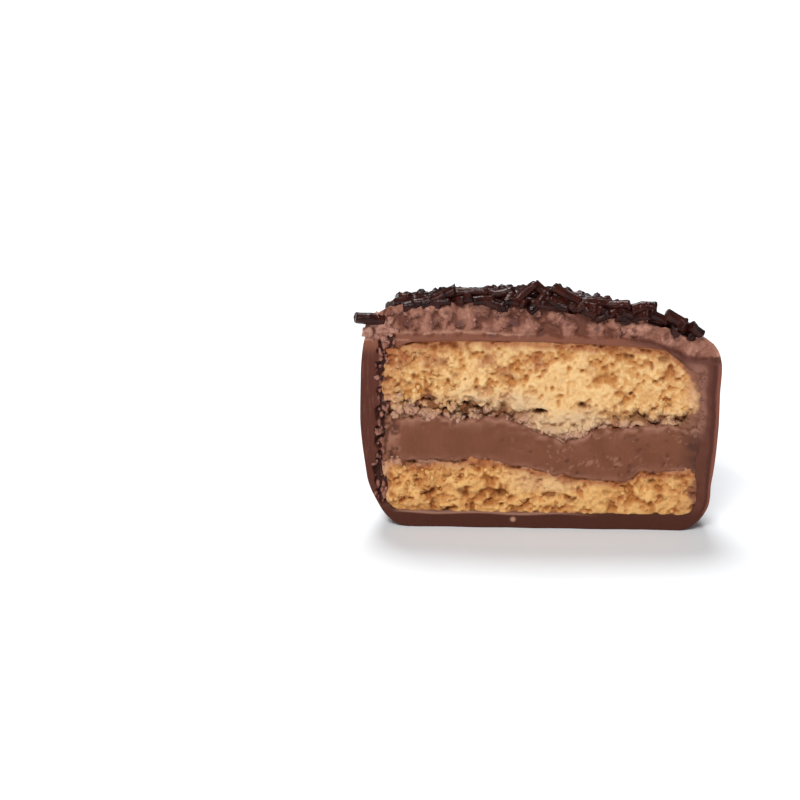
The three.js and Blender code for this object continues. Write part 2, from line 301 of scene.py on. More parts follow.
# half width of the drum that holds the layers, at a height
def coreHalf(z):
    low = np.clip((z - core["bottom"]) / core["bottomRound"], 0, 1)
    foot = core["bottomRound"] * (1 - np.sqrt(np.clip(1 - (1 - low) ** 2, 0, 1)))
    high = np.clip((z - core["shoulder"]) / (core["ceiling"] - core["shoulder"]), 0, 1)
    head = core["topRound"] * (1 - np.sqrt(np.clip(1 - high**2, 0, 1)))
    return core["radius"] - foot * core["bottomIn"] - head


# Marks on the cut face, each placed from the look of the real one:
# x, z, half width, half height, turn in degrees, depth or height, tone.
upperDents = [  # hollows in the upper biscuit, with the row of large ones along its underside; their tone is painted shade
    (-17.7, 17.6, 0.9, 0.4, -20, 1.0, 0.9),
    (-15.1, 17.55, 1.1, 0.28, 4, 1.3, 1.0),
    (-15.6, 16.3, 0.9, 0.45, 20, 1.3, 1.0),
    (-13.6, 14.5, 1.3, 0.3, 15, 1.0, 0.8),
    (-11.9, 15.8, 0.9, 0.45, -30, 1.4, 1.0),
    (-10.1, 16.9, 0.9, 0.4, 30, 1.0, 0.9),
    (-17.3, 14.9, 0.8, 0.25, -10, 0.7, 0.6),
    (0.0, 16.2, 1.35, 0.42, 3, 1.5, 1.0),
    (-2.3, 15.9, 0.8, 0.3, 20, 0.8, 0.5),
    (5.8, 17.1, 1.0, 0.6, -15, 1.7, 1.0),
    (4.6, 14.3, 0.5, 0.5, 0, 0.8, 0.5),
    (8.8, 16.3, 0.35, 0.6, 10, 0.9, 0.7),
    (9.6, 14.2, 0.7, 0.3, 10, 0.9, 0.8),
    (13.2, 14.0, 0.8, 0.35, 0, 1.1, 0.9),
    (15.1, 13.8, 0.5, 0.25, 20, 0.9, 0.9),
    (19.1, 14.5, 0.95, 0.5, 30, 1.2, 1.0),
    (13.3, 16.0, 0.9, 0.55, -30, 1.0, 0.88),
    (11.0, 17.5, 0.8, 0.4, 15, 0.8, 0.6),
    (17.3, 17.4, 0.35, 0.35, 0, 0.7, 0.6),
    (12.0, 18.8, 0.5, 0.35, 0, 0.8, 0.7),
    (15.6, 20.6, 0.7, 0.4, 35, 0.7, 0.55),
    (8.4, 21.0, 0.6, 0.45, 0, 0.6, 0.5),
    (14.8, 22.6, 0.25, 0.6, 0, 0.9, 0.7),
    (11.5, 24.0, 1.35, 0.65, -15, 1.0, 0.83),
    (16.2, 23.7, 1.4, 0.6, -5, 1.0, 0.83),
    (19.2, 22.7, 0.4, 0.3, 0, 0.7, 0.8),
    (20.9, 19.7, 0.5, 0.3, 0, 0.7, 0.8),
    (6.4, 22.4, 0.5, 0.5, 0, 0.5, 0.35),
    (-11.3, 24.9, 1.1, 0.4, -5, 0.7, 0.6),
    (-9.3, 24.3, 0.5, 0.3, -30, 0.6, 0.5),
    (-6.9, 23.7, 0.6, 0.6, 0, 0.7, 0.6),
    (0.0, 23.5, 0.7, 0.5, 10, 0.7, 0.6),
    (-2.4, 24.2, 0.6, 0.3, -30, 0.5, 0.45),
    (-11.4, 21.2, 1.1, 0.55, -20, 0.8, 0.5),
    (-9.9, 20.6, 0.3, 0.25, 0, 0.6, 0.8),
    (-4.8, 21.2, 1.0, 0.5, -15, 0.8, 0.5),
    (-3.6, 20.6, 0.3, 0.25, 0, 0.6, 0.8),
    (-8.0, 19.1, 1.1, 0.6, -10, 0.8, 0.45),
    (-1.0, 19.0, 1.0, 0.6, 10, 0.8, 0.45),
    (3.0, 20.4, 0.7, 0.5, 10, 0.6, 0.35),
    (-17.6, 19.8, 0.75, 0.6, 0, 1.0, 0.55),
    (-14.4, 20.4, 0.75, 0.25, -45, 0.8, 0.6),
    (-15.0, 18.7, 0.6, 0.4, 0, 0.9, 0.55),
    (-12.6, 22.7, 0.7, 0.6, 20, 0.6, 0.45),
    (-17.0, 22.0, 0.7, 0.4, 0, 0.6, 0.4),
]
lowerDents = [  # hollows in the lower biscuit, and the cracks along its top; their tone is painted shade
    (-14.4, 4.7, 1.3, 0.65, 15, 1.0, 0.75),
    (-14.0, 3.5, 0.5, 0.5, 0, 0.6, 0.55),
    (-10.0, 4.8, 1.2, 0.6, -10, 1.1, 0.75),
    (-11.3, 3.7, 0.8, 0.2, 12, 0.7, 0.7),
    (-5.2, 4.6, 1.4, 0.55, 5, 1.1, 0.8),
    (-6.6, 3.8, 1.0, 0.2, 8, 0.7, 0.7),
    (-4.9, 3.1, 0.4, 0.3, 0, 0.7, 0.9),
    (-1.3, 3.8, 0.7, 0.35, 10, 0.9, 0.8),
    (1.6, 4.5, 1.3, 0.55, 0, 1.1, 0.8),
    (4.7, 3.9, 0.9, 0.5, 20, 0.9, 0.8),
    (8.6, 3.6, 0.7, 0.5, 0, 0.7, 0.55),
    (9.3, 5.0, 1.0, 0.5, 0, 0.7, 0.5),
    (13.5, 6.0, 0.9, 0.4, -10, 0.7, 0.5),
    (16.9, 4.2, 0.7, 0.4, 20, 0.7, 0.55),
    (14.9, 6.7, 0.8, 0.6, 0, 1.0, 0.83),
    (18.6, 7.2, 0.7, 0.35, 0, 0.8, 0.7),
    (19.0, 6.2, 0.5, 0.5, 0, 0.7, 0.55),
    (-12.4, 6.8, 1.1, 0.5, 10, 0.6, 0.35),
    (-16.2, 6.5, 0.6, 0.5, -20, 0.6, 0.45),
    (-17.0, 8.9, 1.1, 0.18, -6, 0.8, 0.9),
    (-12.3, 9.1, 0.6, 0.15, -4, 0.7, 0.8),
    (-8.9, 8.6, 0.9, 0.2, -20, 0.7, 0.75),
    (-5.8, 8.1, 0.7, 0.2, -15, 0.7, 0.7),
    (-3.6, 7.4, 0.4, 0.25, 0, 0.5, 0.5),
]
# lumps of crumb that stand out between the upper biscuit and the filling
clods = [
    (-14.35, 15.6, 1.25, 0.85, 10, 0.55, 0.55),
    (-11.6, 16.5, 0.65, 0.6, 0, 0.5, 0.65),
    (-17.3, 16.1, 0.9, 0.6, -20, 0.35, 0.35),
    (-12.9, 17.6, 0.8, 0.5, -30, 0.4, 0.2),
    (-9.0, 15.4, 0.8, 0.5, 0, 0.35, 0.6),
    (-6.6, 15.3, 0.7, 0.45, 10, 0.3, 0.6),
    (-4.3, 14.9, 0.7, 0.4, 0, 0.35, 0.6),
    (1.8, 13.4, 0.9, 0.6, 10, 0.4, 0.25),
    (4.1, 12.9, 0.7, 0.5, 0, 0.35, 0.5),
    (6.6, 13.9, 0.7, 0.5, 0, 0.4, 0.5),
    (11.4, 14.7, 0.8, 0.5, 0, 0.35, 0.4),
    (17.1, 14.6, 0.8, 0.5, 0, 0.35, 0.5),
]
# toasted patches in the middle of the upper biscuit
blushes = [
    (-6.8, 23.2, 1.5, 1.4, 0, 0.0, 1.0),
    (-0.3, 23.2, 1.5, 1.4, 0, 0.0, 1.0),
    (-4.7, 21.4, 1.7, 1.0, -15, 0.0, 0.9),
    (-14.1, 23.1, 1.8, 1.6, 0, 0.0, 0.9),
    (-18.7, 23.0, 1.6, 2.0, 0, 0.0, 0.95),
    (6.4, 22.4, 1.2, 0.9, 0, 0.0, 0.35),
    (17.6, 21.8, 1.4, 1.3, 0, 0.0, 0.6),
    (19.8, 20.2, 1.0, 1.6, 0, 0.0, 0.5),
]
# flat slivers of chocolate between the clods
slivers = [
    (-14.7, 18.15, 0.9, 0.3, -5, 0.15, 0.8),
    (-14.2, 17.0, 1.1, 0.35, -3, 0.2, 1.0),
    (-10.9, 15.0, 0.9, 0.4, 25, 0.2, 1.0),
    (-9.9, 16.2, 0.5, 0.5, 0, 0.1, 0.9),
    (-16.4, 17.2, 0.5, 0.3, 0, 0.1, 0.7),
]


# depth and tone of the marks of a list at each point, with a ragged border
def marked(x, z, marks, seed, ragged=0.3):
    wobble = ragged * (bumps(x, z, 0.7, 0.7, seed, 11) - 0.5) * 2
    wobble = wobble + 0.6 * ragged * (bumps(x, z, 0.28, 0.28, seed + 1, 11) - 0.5) * 2
    relief, tone = np.zeros(x.shape), np.zeros(x.shape)
    for atX, atZ, wide, tall, turn, height, shade in marks:
        c, s = math.cos(math.radians(turn)), math.sin(math.radians(turn))
        u = ((x - atX) * c + (z - atZ) * s) / wide
        v = ((z - atZ) * c - (x - atX) * s) / tall
        share = 1 - smoothstep(np.hypot(u, v) + wobble, 0.0, 1.45)
        relief = np.maximum(relief, share * height * (1 if shade > 0.84 else 0.5))
        tone = np.maximum(tone, share * shade)
    return relief, tone


# the points shifted about, so that what is laid over them loses its even form
def warped(x, z, width, amount, seed):
    dx = amount * (bumps(x, z, width, width, seed, 9) - 0.5) * 2
    dz = amount * (bumps(x, z, width, width, seed + 1, 29) - 0.5) * 2
    return x + dx, z + dz


# height of round grains that lie scattered at random, in widths of their grid, and 0 between them
def pebbles(x, z, width, seed, least=0.3, most=0.75):
    u, v = x / width + 50, z / width + 50
    i, j = np.floor(u).astype(np.int64), np.floor(v).astype(np.int64)
    height = np.zeros(u.shape)
    for di in (-1, 0, 1):
        for dj in (-1, 0, 1):
            atU = i + di + cornerValue(i + di, j + dj, np.int64(seed))
            atV = j + dj + cornerValue(i + di, j + dj, np.int64(seed + 1))
            radius = mixed(least, most, cornerValue(i + di, j + dj, np.int64(seed + 2)))
            inside = np.clip(1 - ((u - atU) ** 2 + (v - atV) ** 2) / radius**2, 0, 1)
            height = np.maximum(height, radius * inside**0.6)
    return height


# depths of the biscuits' crumb, and how wide its parts are
crumb = {
    "skin": 0.03,
    "hollow": 0.75,
    "small": 0.2,
    "lump": 0.5,
    "grain": 0.22,
    "tuck": 0.6,
    "lumpWidth": 1.25,
    "broadLumpWidth": 1.9,
    "grainWidth": 0.62,
}


# how much further back a layer lies where it reaches in under the coat, past its edge
def tucked(past):
    return crumb["tuck"] * smoothstep(past, 0.05, 0.45)


# depth of a biscuit's face behind the knife's plane, and how hollow it is at each point, as the painted
# shade of its hollows
def crumbFace(x, z, seed, loose, broadLumps):
    wx, wz = warped(x, z, 1.5, 0.35, seed + 20)
    broad = bumps(wx, wz, 2.1, 1.7, seed)
    middle = bumps(wx, wz, 0.95, 0.85, seed + 1)
    small = bumps(x, z, 0.42, 0.42, seed + 2)
    lump = pebbles(wx, wz, crumb["lumpWidth"], seed + 3)
    lump = mixed(lump, pebbles(wx, 0.8 * wz, crumb["broadLumpWidth"], seed + 13), broadLumps) / 0.75
    grain = mixed(pebbles(wx, wz, crumb["grainWidth"], seed + 8) / 0.75, 0.75, 0.6 * broadLumps)
    soft = 0.3 * broad + 0.47 * middle + 0.23 * small
    hollow = smoothstep(soft, 0.44, 0.86)
    relief = crumb["hollow"] * hollow + crumb["small"] * small
    relief = relief + loose * (crumb["lump"] * (1 - lump) + crumb["grain"] * (1 - grain))
    # painted shade: darker in the hollows and under the loose lumps and grains
    shade = 0.85 * hollow + 0.22 * small + loose * (0.22 * (1 - lump) + 0.12 * (1 - grain)) - 0.1
    return crumb["skin"] + relief, np.clip(shade, 0, 1)


# How the upper biscuit's cut changes from place to place. Two numbers say where a change starts and
# where it ends, and four are a zone. Depths are below the biscuit's top, heights over the filling.
upperLook = {
    "middle": -1.5,  # the crumb gets looser to both sides of here
    "looser": (6, 15),
    "looseness": (0.3, 0.85),
    "underside": 3.8,  # height of the loosest crumb
    "loosest": 1.5,
    "firm": (-3, 0, 7, 10),  # the stretch that sank in, which broke more evenly
    "broadLumps": (3, 8),
    "broadLumpHeights": (3, 5),
    "clumpHeights": (1.5, 3.2),  # the underside broke off in clumps
    "clumpDepth": 0.95,
    "clumpsLeft": (2, 7),
    "clumpsRight": (9, 13),
    "crustDepths": (0.1, 1.5),  # toasted
    "fainterDepths": (1, 3.5),
    "cornerPlaces": (10.5, 17),
    "cornerDepths": (1.2, 4.2),
    "sidePlaces": (18.3, 20.6),
    "sideHeights": (17.5, 20),
    "paleHeights": (2.2, 5.6),
    "palePlaces": (-15, -9),
    "pinkHeights": (0.2, 1.7),  # rubbed with chocolate
    "pinkCornerPlaces": (11, 15),
    "pinkCornerHeights": (2, 4),
    "pinkLeft": (18.2, 20.2),
    "pinkLeftHeights": (16.5, 19.5),
    "pinkRight": (18.8, 20.6),
    "smearHeights": (14, 15.7, 17.8, 19.2, 21.5, 24),  # the knife's smear over the right end
    "smearPlaces": (19.2, 20.0, 21.0, 21.3, 19.9, 17.8),
}


def upperToast(x, z, patch, fine):
    look = upperLook
    fromTop = upperTopAt(x) - z + 1.2 * (patch - 0.5)
    crust = 1.1 * fading(fromTop, *look["crustDepths"])
    crust = crust + 0.3 * fading(fromTop, *look["fainterDepths"]) * fine
    corner = smoothstep(-x, *look["cornerPlaces"]) * fading(fromTop, *look["cornerDepths"])
    side = smoothstep(np.abs(x - core["offset"]) + 1.2 * (patch - 0.5), *look["sidePlaces"])
    side = side * smoothstep(z, *look["sideHeights"])
    _, blush = marked(x, z, blushes, 72, 0.5)
    return np.clip(largest(crust, blush, 0.62 * corner, 0.6 * side), 0, 1)


def upperPink(x, z, fromLow, fine):
    look = upperLook
    corner = smoothstep(-x, *look["pinkCornerPlaces"]) * fading(fromLow, *look["pinkCornerHeights"])
    left = smoothstep(-x, *look["pinkLeft"]) * fading(z, *look["pinkLeftHeights"])
    right = 0.4 * smoothstep(x, *look["pinkRight"]) * (0.4 + fine)
    return largest(0.95 * fading(fromLow, *look["pinkHeights"]) + 0.5 * corner, left, right)


def upperFace(x, z):
    look, low = upperLook, fillingTopAt(x)
    patch, fine = bumps(x, z, 1.7, 1.3, 51, 3), bumps(x, z, 0.5, 0.5, 52, 3)
    ragged = patch - 0.5
    firm = zone(x, *look["firm"])
    fromMiddle = np.abs(x - look["middle"]) + 4 * ragged
    loose = mixed(*look["looseness"], smoothstep(fromMiddle, *look["looser"]))
    under = smoothstep(low + look["underside"] - z + 1.5 * ragged, 0, 2.2)
    loose = np.maximum(loose, (look["loosest"] - 0.6 * firm) * under)
    broadLumps = smoothstep(x + 2 * ragged, *look["broadLumps"])
    broadLumps = broadLumps * smoothstep(z - low, *look["broadLumpHeights"])
    depth, hollow = crumbFace(x, z, 3, loose, broadLumps)

    wx, wz = warped(x, z, 1.4, 0.45, 77)
    clump = pebbles(wx, 1.3 * wz, 2.0, 75, 0.3, 0.68) / 0.68
    nearFilling = fading(z - low + 1.4 * ragged, *look["clumpHeights"])
    clumpy = 0.5 + 0.5 * smoothstep(-x, *look["clumpsLeft"]) + 0.2 * smoothstep(x, *look["clumpsRight"])
    broken = nearFilling * (clumpy - 0.3 * firm)
    depth = depth + look["clumpDepth"] * broken * smoothstep(1 - clump, 0.3, 1)
    gap = broken * smoothstep(1 - clump, 0.5, 0.9)

    dent, dark = marked(x, z, upperDents, 61)
    rise, fromClod = marked(x, z, clods, 64)
    flake, fromSliver = marked(x, z, slivers, 67, 0.2)
    clod = smoothstep(rise, 0.02, 0.15)
    bumpy = 0.4 - 0.5 * pebbles(x, z, 0.55, 70)
    depth = mixed(depth, 0.3 * depth - rise + bumpy, clod) + dent * (1 - clod)
    depth = mixed(depth, 0.35 - flake, smoothstep(flake, 0.02, 0.08))

    smearFrom = np.interp(z, look["smearHeights"], look["smearPlaces"])
    smeared = smoothstep(x + 1.3 * ragged + 0.6 * (fine - 0.5), smearFrom - 0.5, smearFrom + 0.3)
    fromLow = z - low + 1.6 * ragged
    paleFrom = fromLow + 2.2 * smoothstep(x, 6, 10)
    return mixed(depth, 0.3 * depth + 0.1, smeared) + tucked(z - upperTopAt(x)), {
        # painted shade of the hollows, less on the clumps by the filling
        "hollow": hollow * (1 - 0.7 * nearFilling * clump),
        # painted shade in the dents and in the gaps between the clumps
        "pit": np.maximum(dark, 0.9 * gap) * (1 - clod) * (1 - 0.85 * smeared),
        "toast": upperToast(x, z, patch, fine),
        "pale": fading(paleFrom, *look["paleHeights"]) * smoothstep(x, *look["palePlaces"]),
        "pink": np.clip(np.maximum(upperPink(x, z, fromLow, fine), fromClod), 0, 1),
        "sliver": np.maximum(smoothstep(fromSliver, 0.2, 0.5), 0.9 * smeared),
    }


lowerLook = {
    "looser": (2, 14),  # to the left
    "looseness": (0.45, 0.85),
    "broadLumps": (-2, 6),
    "crustDepths": (0.3, 1.7),
    "cornerPlaces": (9, 15),
    "cornerDepths": (0.8, 2.6),
    "sidePlaces": (16.5, 20.6),
    "pinkDepths": (0, 0.9),
    "pinkCornerPlaces": (8, 14),
    "pinkCornerDepths": (0.4, 1.8),
    "pinkLeft": (19.7, 20.7),
    "palePlaces": (-6, -1, 3, 8),
    "paleHeights": (4.6, 5.6),
    "smeared": (20.2, 21.1),
}


def lowerFace(x, z):
    look = lowerLook
    patch = bumps(x, z, 1.7, 1.3, 53, 3)
    ragged = patch - 0.5
    loose = mixed(*look["looseness"], smoothstep(-x + 4 * ragged, *look["looser"]))
    depth, hollow = crumbFace(x, z, 11, loose, 0.8 * smoothstep(x, *look["broadLumps"]))
    dent, dark = marked(x, z, lowerDents, 71)
    fromTop = lowerTopAt(x) - z + 0.9 * ragged
    crust = 1.2 * fading(fromTop, *look["crustDepths"])
    corner = smoothstep(-x, *look["cornerPlaces"]) * fading(fromTop, *look["cornerDepths"])
    side = smoothstep(x, *look["sidePlaces"])
    pink = 0.5 * fading(fromTop, *look["pinkDepths"]) * smoothstep(patch, 0.3, 0.6)
    pinkCorner = 0.85 * smoothstep(-x, *look["pinkCornerPlaces"])
    pinkCorner = pinkCorner * fading(fromTop, *look["pinkCornerDepths"])
    pinkLeft = 0.7 * smoothstep(-x, *look["pinkLeft"])
    return depth + dent + tucked(core["bottom"] + 0.05 - z), {
        "hollow": hollow,
        # painted shade in the dents and in the cracks along the top
        "pit": dark,
        "toast": np.clip(largest(crust, 0.8 * corner, 0.45 * side), 0, 1),
        "pale": 0.45 * zone(x, *look["palePlaces"]) * smoothstep(z, *look["paleHeights"]),
        "pink": np.clip(largest(pink, pinkCorner, pinkLeft), 0, 1),
        "sliver": 0.8 * smoothstep(x + 1.4 * ragged, *look["smeared"]),
    }


# chocolate that the knife left in soft waves: their depths and widths
smear = {"skin": 0.02, "coarse": 0.2, "coarseWidth": 4.0, "fine": 0.06, "fineWidth": 1.6}


def smearDepth(x, z, seed):
    coarse = bumps(x, z, smear["coarseWidth"], smear["coarseWidth"], seed) ** 1.5
    fine = bumps(x, z, smear["fineWidth"], smear["fineWidth"], seed + 7)
    return smear["skin"] + smear["coarse"] * coarse + smear["fine"] * fine


fillingLook = {
    "flecks": (-7, 3),  # flecks of biscuit and dark spots get more to the right
    "spots": (-12, 2),
    "smearHeight": 0.55,  # paler along the upper biscuit and the lower one
    "bandHeight": 0.35,
    "fibres": (18.3, 19.3),  # the torn left end
    "shadow": (18.2, 20.8),  # the right end, darkened with painted shade
}


def fillingFace(x, z):
    look = fillingLook
    low, high = z - lowerEdge(x), upperEdge(x) - z
    patch, fine = bumps(x, z, 0.9, 0.6, 45, 3), bumps(x, z, 0.35, 0.35, 46, 3)
    wx, wz = warped(x, z, 0.6, 0.3, 47)
    crowded = smoothstep(bumps(x, z, 2.2, 1.6, 44, 8), 0.45, 0.75) * smoothstep(x, *look["flecks"])
    fleck = smoothstep(pebbles(wx, wz, 0.7, 48, 0.02, 0.45), 0.05, 0.3) * crowded
    spot = smoothstep(pebbles(wz, wx, 1.5, 49, 0.02, 0.22), 0.08, 0.16) * smoothstep(x, *look["spots"])
    smeared = np.exp(-np.clip(high, 0, 9) / look["smearHeight"]) * smoothstep(patch + 0.4 * fine, 0.35, 0.9)
    band = np.exp(-np.clip(low, 0, 9) / look["bandHeight"]) * (0.35 + 0.5 * smoothstep(patch, 0.4, 0.7))
    string = smoothstep(bumps(wx, wz, 0.34, 1.7, 50, 8) + 0.5 * (fine - 0.5), 0.25, 0.75)
    fibres = smoothstep(-x + 1.6 * (patch - 0.5) + 0.5 * (fine - 0.5), *look["fibres"])
    pale = largest(0.8 * smeared, 0.55 * fleck, 0.6 * band)
    streak = 0.03 * bumps(x, z, 0.22, 1.6, 41, 0) + 0.02 * bumps(x, z, 0.5, 0.5, 42, 0)
    relief = 0.4 * fibres * (1 - string) - 0.06 * fleck - 0.12 * smeared + 0.1 * spot
    return smearDepth(x, z, 19) + streak + relief, {
        # painted shade at the right end
        "far": smoothstep(x, *look["shadow"]) * (0.5 + 0.7 * patch),
        "pale": mixed(pale, 0.05 + 0.65 * string * patch, fibres),
        # dark spots, and painted shade between the strings of the torn end
        "spot": mixed(0.7 * spot, 0.75 * smoothstep(1 - string, 0.45, 1.0), fibres),
    }


# cut ends of strands that sit in the coat's crumbly top, like the marks on the biscuits
cutEnds = [
    (-6.5, 26.8, 0.75, 0.6, 0, 0.12, 0.9),
    (0.4, 26.5, 0.7, 0.6, 0, 0.12, 0.9),
    (-3.6, 28.4, 0.9, 0.6, -20, 0.15, 0.7),
    (-14.2, 28.3, 0.9, 0.5, 5, 0.2, 0.6),
    (-10.6, 28.2, 0.8, 0.6, 0, 0.2, 0.6),
    (-12.5, 29.6, 0.5, 0.4, 0, 0.2, 0.6),
    (-17.6, 28.1, 0.8, 0.6, 0, 0.15, 0.5),
    (3.6, 28.3, 0.7, 0.5, 20, 0.2, 0.5),
    (7.4, 27.7, 0.5, 0.5, 0, 0.2, 0.6),
    (10.3, 26.9, 0.5, 0.4, 0, 0.2, 0.5),
]


# how the coat's cut changes from place to place, as in the biscuits' dictionaries
coatLook = {
    "seam": 26.75,  # height of the line between the smooth layer and the crumbly one over it
    "seamDip": (-4, 8),  # it dips a little here, and falls off towards the right
    "seamFall": (11.5, 21.5),
    "top": (-0.25, 0.35),
    "pilePlaces": (19.6, 20.6),  # crumbly at the left corner too
    "pileHeights": (25.7, 26.2),
    "sidePlaces": (-21.95, -21.45, -19.6, -18.9),  # the broken stretch down the left wall, darkened with painted shade
    "sideHeights": (2.6, 4.2),
    "streaks": (17, 20),
    "creasePlaces": (9.5, 14),
    "shade": (-7, -2, 5, 10),  # the crumbly top has more painted shade in the middle
    "shallow": (9, 14),  # and less painted shade in its hollows at the right
}
# depths of the crumbly chocolate, and of the grooves in its side
crag = {"skin": 0.03, "coarse": 0.5, "coarseWidth": 1.9, "lump": 0.75, "grain": 0.22, "groove": 1.0}
# painted highlights where an edge or a fold of the coat catches the light, and a pale smear along the top
# of the coat's floor
paleLines = {
    "seamPlaces": (-5, 3),
    "folds": 25.95,
    "foldPlaces": (-20.4, -19.6, -17.6, -17),
    "shellTop": 25.9,
    "shellPlaces": (-21.8, -21.2),
    "rimPlaces": (-20, -17.5, 0, 9),
    "dripGlint": (-3.3, 1.2),  # a painted highlight on a small drip below the lower biscuit
}


def seamAt(x):
    dip, fall = smoothstep(x, *coatLook["seamDip"]), smoothstep(x, *coatLook["seamFall"])
    return coatLook["seam"] - 0.25 * dip - 2.6 * fall + 0.15 * np.sin(x / 2.1)


def coatLights(x, z, ragged):
    lines = paleLines
    broken = smoothstep(noise(x / 1.6, 5, 89), 0.3, 0.5) * fading(x, *lines["seamPlaces"])
    alongSeam = fading(np.abs(z - seamAt(x) - 0.2), 0.05, 0.2) * broken
    fold = fading(np.abs(z - lines["folds"]), 0.03, 0.14) * zone(x, *lines["foldPlaces"])
    shellTop = fading(np.abs(z - lines["shellTop"] + 0.4 * ragged), 0.05, 0.2)
    shellTop = shellTop * fading(x, *lines["shellPlaces"])
    wave = 0.12 * np.sin(x / 1.7) - 0.05
    rim = fading(np.abs(z - core["bottom"] - wave), 0.05, 0.3) * zone(x, *lines["rimPlaces"])
    dripGlint = fading(np.hypot(x - lines["dripGlint"][0], z - lines["dripGlint"][1]), 0.15, 0.5)
    return largest(alongSeam, 0.7 * fold, 0.9 * shellTop, 0.75 * rim, 1.2 * dripGlint)


def coatFace(x, z):
    look = coatLook
    ragged = 1.1 * (bumps(x, z, 0.9, 0.9, 81, 0) - 0.5)
    pile = smoothstep(-x + 1.5 * ragged, *look["pilePlaces"]) * smoothstep(z + ragged, *look["pileHeights"])
    top = np.maximum(smoothstep(z - seamAt(x) + 0.7 * ragged, *look["top"]), pile)
    sideStart, sideEnd, wallStart, wallEnd = look["sidePlaces"]
    side = smoothstep(x + ragged, sideStart, sideEnd) * fading(x, wallStart, wallEnd)
    side = side * smoothstep(z + ragged, *look["sideHeights"]) * (1 - top)

    wx, wz = warped(x, z, 1.1, 0.35, 83)
    coarse = bumps(wx, wz, crag["coarseWidth"], crag["coarseWidth"], 29)
    lump = pebbles(wx, wz, 1.7, 84, 0.25, 0.8) / 0.8
    grain = pebbles(wx, wz, 0.7, 87, 0.2, 0.7) / 0.7
    shard = pebbles(wx, 0.7 * wz, 0.5, 93, 0.1, 0.72) / 0.72
    _, fromEnd = marked(x, z, cutEnds, 88, 0.15)
    craggy = crag["skin"] + crag["coarse"] * coarse + crag["lump"] * (1 - lump)
    craggy = mixed(craggy + crag["grain"] * (1 - grain), 0.35, smoothstep(fromEnd, 0.1, 0.3))
    groove = crag["groove"] * (1 - shard) + 0.15 * (1 - grain)
    streak = 0.05 * bumps(x, z, 0.3, 2.5, 43, 0) * smoothstep(-x, *look["streaks"])
    depth = mixed(smearDepth(x, z, 23) + streak, mixed(groove, craggy, top), np.maximum(top, side))

    # painted shade of the crumbly top: darker in its hollows
    shade = 0.3 * coarse + 0.5 * (1 - lump) + 0.3 * (1 - grain) - 0.1
    shade = np.clip(shade + 0.2 * zone(x, *look["shade"]), 0, 1)
    shade = shade * (1 - 0.35 * smoothstep(x, *look["shallow"]))
    # painted shade in the crease just under the seam, at the right
    crease = fading(np.abs(z - seamAt(x) + 0.25), 0.15, 0.7)
    return depth, {
        "rough": top,
        # painted shade down the broken left stretch
        "dark": side,
        "light": coatLights(x, z, ragged),
        "crease": crease * smoothstep(x, *look["creasePlaces"]),
        "cutEnd": smoothstep(fromEnd, 0.15, 0.5) * top,
        # painted shade between the shards of the left stretch and in the crumbly top's hollows
        "hollow": mixed(1 - shard, shade, top),
    }


# a piece from points in millimetres, and from what each point carries: a number or a vector
def pieceFrom(name, points, faces, attributes, slots=None):
    mesh = bpy.data.meshes.new(name)
    points = np.asarray(points, float) - (0, coat["radius"] / 2, 0)
    mesh.from_pydata((points * mm).tolist(), [], faces)
    for label, values in attributes.items():
        values = np.asarray(values, np.float32)
        kind, field = ("FLOAT", "value") if values.ndim == 1 else ("FLOAT_VECTOR", "vector")
        mesh.attributes.new(label, kind, "POINT").data.foreach_set(field, values.ravel())
    if slots is not None:
        mesh.polygons.foreach_set("material_index", np.asarray(slots, np.int32))
    mesh.shade_smooth()
    piece = bpy.data.objects.new(name, mesh)
    bpy.context.scene.collection.objects.link(piece)
    return piece


# quads between the rows of a grid of vertex numbers
def quads(grid, flip=False):
    a, b, c, d = grid[:-1, :-1], grid[1:, :-1], grid[1:, 1:], grid[:-1, 1:]
    order = (a, d, c, b) if flip else (a, b, c, d)
    return np.stack([part.ravel() for part in order], 1).tolist()


# rings behind a face, the turn of the last one in degrees, and the least steps between them
closing = {"rings": 10, "lastTurn": 88, "apart": 0.05, "tip": 0.3}


# closes a loop off behind the face: rings that follow the half round back, and a fan at its end
def backOf(points, loop, reach, start):
    base = points[loop]
    made, faces, previous = [], [], np.asarray(loop)
    for n in range(1, closing["rings"] + 1):
        turn = math.radians(closing["lastTurn"]) * n / closing["rings"]
        ring = base.copy()
        ring[:, 0] = core["offset"] + (base[:, 0] - core["offset"]) * math.cos(turn)
        ring[:, 1] = np.maximum(reach * math.sin(turn), base[:, 1] + closing["apart"] * n)
        upper = smoothstep(base[:, 2], coat["topStarts"], coat["shoulderHeight"])
        ring[:, 2] -= upper * coat["backFall"] * ring[:, 1]
        numbers = np.arange(start, start + len(loop))
        made.append(ring)
        start += len(loop)
        faces += quads(np.stack([np.append(previous, previous[0]), np.append(numbers, numbers[0])]))
        previous = numbers
    made.append(made[-1].mean(0, keepdims=True) + np.array([[0, closing["tip"], 0]]))
    for a, b in zip(previous, np.roll(previous, -1)):
        faces.append([int(b), int(a), start])
    return np.concatenate(made), faces


# how far each layer reaches past its edges, below and above
overlap = {"upperBiscuit": (0.25, 0.6), "lowerBiscuit": (0.25, 0.15), "chocolateCream": (0.15, 0.2)}


